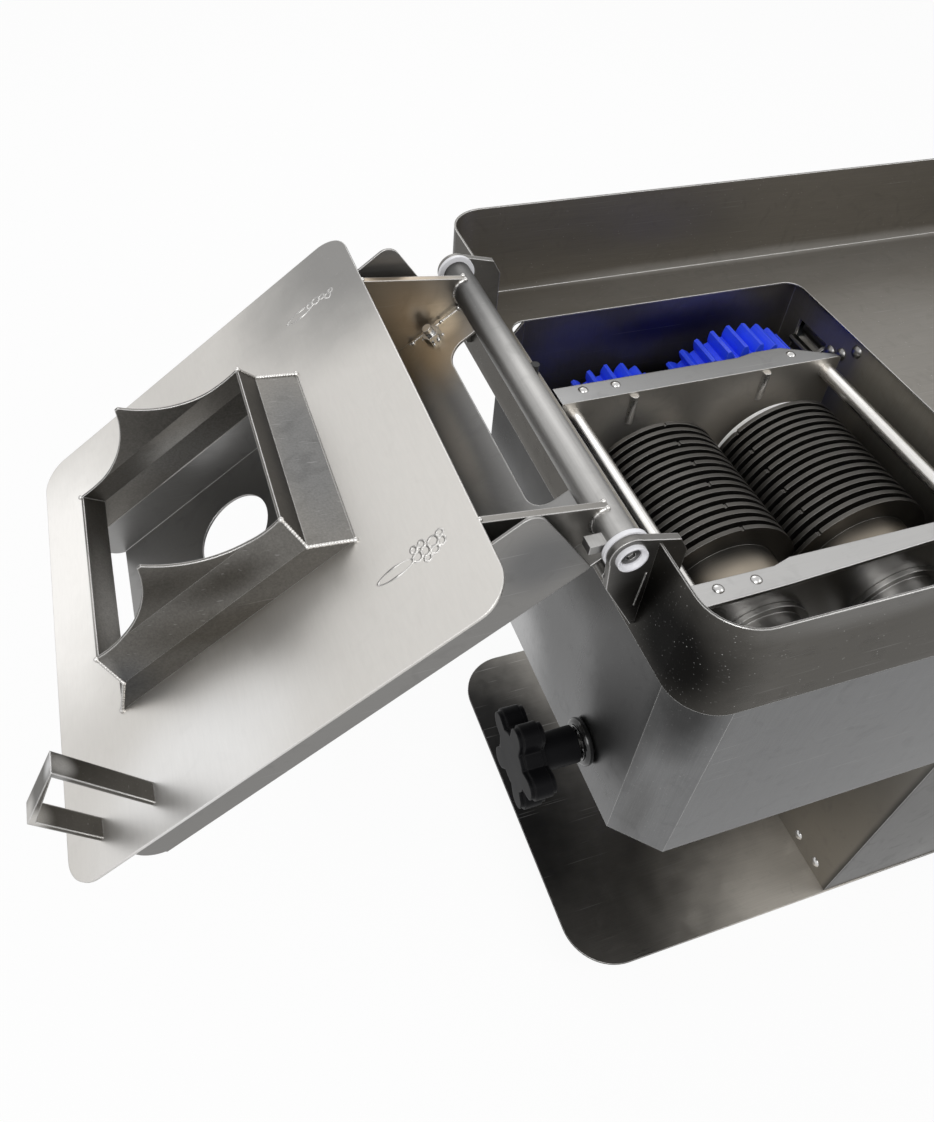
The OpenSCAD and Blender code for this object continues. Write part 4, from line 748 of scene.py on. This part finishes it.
def turned(name, axis, dark, light, rough, metallic=1.0, edge_shine=0.5):
    """A turned part: colour, gloss and height follow its ring marks. Near the drums' front ends it
    gets a painted highlight, and its cut edges a painted glint.
    """
    paint = bpy.data.materials.new(name)
    paint.use_nodes = True
    tree = paint.node_tree
    shader = tree.nodes["Principled BSDF"]
    marks = use_group(tree, turned_rings, {"Axis": axis})
    grain = use_group(tree, brushed_sheet, {"Cloud Scale": 30.0})
    corner = use_group(tree, cut_edge, {"Radius": TURNED_EDGE})
    colour = mix_colour(tree, grain.outputs["Clouds"], dark, light)
    ringed = add(tree, "HueSaturation",
                 {"Color": colour, "Value": mix_number(tree, marks.outputs["Rings"], *RING_TONE)})
    # Painted highlight: a warm soft patch near the front ends of the drums.
    end = use_group(tree, soft_patch, {"Centre": axis + DRUM_END, "Reach": DRUM_END_REACH, "Ragged": 0.15})
    colour = mix_colour(tree, end.outputs["Patch"], ringed.outputs["Color"], DRUM_END_HIGHLIGHT)
    # Painted glint: the cut edges are paled towards the glint colour.
    colour = mix_colour(tree, mix_number(tree, corner.outputs["Edge"], 0.0, edge_shine), colour, GLINT_AND_WEAR_COLOUR)
    tree.links.new(colour, shader.inputs["Base Color"])
    tree.links.new(mix_number(tree, marks.outputs["Rings"], rough[0], rough[1]), shader.inputs["Roughness"])
    shader.inputs["Metallic"].default_value = metallic
    relief = add(tree, "Bump", {"Height": marks.outputs["Rings"], "Distance": RING_HEIGHT,
                                "Strength": BUMP_STRENGTH, "Normal": corner.outputs["Normal"]})
    tree.links.new(relief.outputs["Normal"], shader.inputs["Normal"])
    return paint


CUTTER_DARK = grey(0.055, 0.06)
CUTTER_LIGHT = grey(0.11, 0.05)
WASHER_DARK = (0.84, 0.83, 0.82, 1)
WASHER_LIGHT = (0.93, 0.92, 0.91, 1)
for side, axis in (("left", at(127.8, 128, -141.7)), ("right", at(229.8, 128, -141.7))):
    dress(turned(side + "_cutter_steel", axis, CUTTER_DARK, CUTTER_LIGHT, (0.34, 0.48), edge_shine=0.20),
          side + "_cutter")
    dress(turned(side + "_washer_white", axis, WASHER_DARK, WASHER_LIGHT, (0.35, 0.5), 0.0, edge_shine=0.1),
          side + "_washer")
bearing_steel = steel("bearing_steel", grey(0.26, 0.02), grey(0.36, 0.02), rough=(0.26, 0.38),
                      streak=(1400, 1400, 1400), streak_tone=0.06, edge=0.0012, smear=0.04)
dress(bearing_steel, "front_bearings", "back_bearings")

# ---------------------------------------------------------------------------------------------
# Drive: two blue moulded gears on the cutter shafts, turned by a dark steel pinion from the motor
# behind the right wall.
# ---------------------------------------------------------------------------------------------
gear_blue = plastic("gear_blue", (0.02, 0.06, 0.85, 1), (0.035, 0.10, 1.0, 1), rough=(0.25, 0.36),
                    rubbed=0.25)
pinion_steel = steel("pinion_steel", grey(0.13, 0.02), grey(0.20, 0.02), rough=(0.24, 0.36), edge=0.0005)
motor_paint = plastic("motor_paint", (0.05, 0.055, 0.06, 1), (0.08, 0.085, 0.09, 1), rough=(0.4, 0.55))
dress(gear_blue, "left_gear", "right_gear")
dress(pinion_steel, "drive_pinion")
dress(motor_paint, "motor", "fan_cover", "gearbox", "shaft_bearing")

# ---------------------------------------------------------------------------------------------
# Star knob that clamps the cassette, with the switch plate and the cable gland: moulded black.
# The start button is green and the stop button red.
# ---------------------------------------------------------------------------------------------
knob_black = plastic("knob_black", (0.003, 0.003, 0.0035, 1), (0.007, 0.007, 0.008, 1), rough=(0.40, 0.52),
                     edge=0.0016, rubbed=0.05, sheen_level=0.06)
start_green = plastic("start_green", (0.01, 0.17, 0.03, 1), (0.02, 0.24, 0.05, 1))
stop_red = plastic("stop_red", (0.42, 0.01, 0.01, 1), (0.55, 0.02, 0.015, 1))
dress(knob_black, "star_knob", "switch_plate", "cable_gland")
dress(start_green, "start_button")
dress(stop_red, "stop_button")
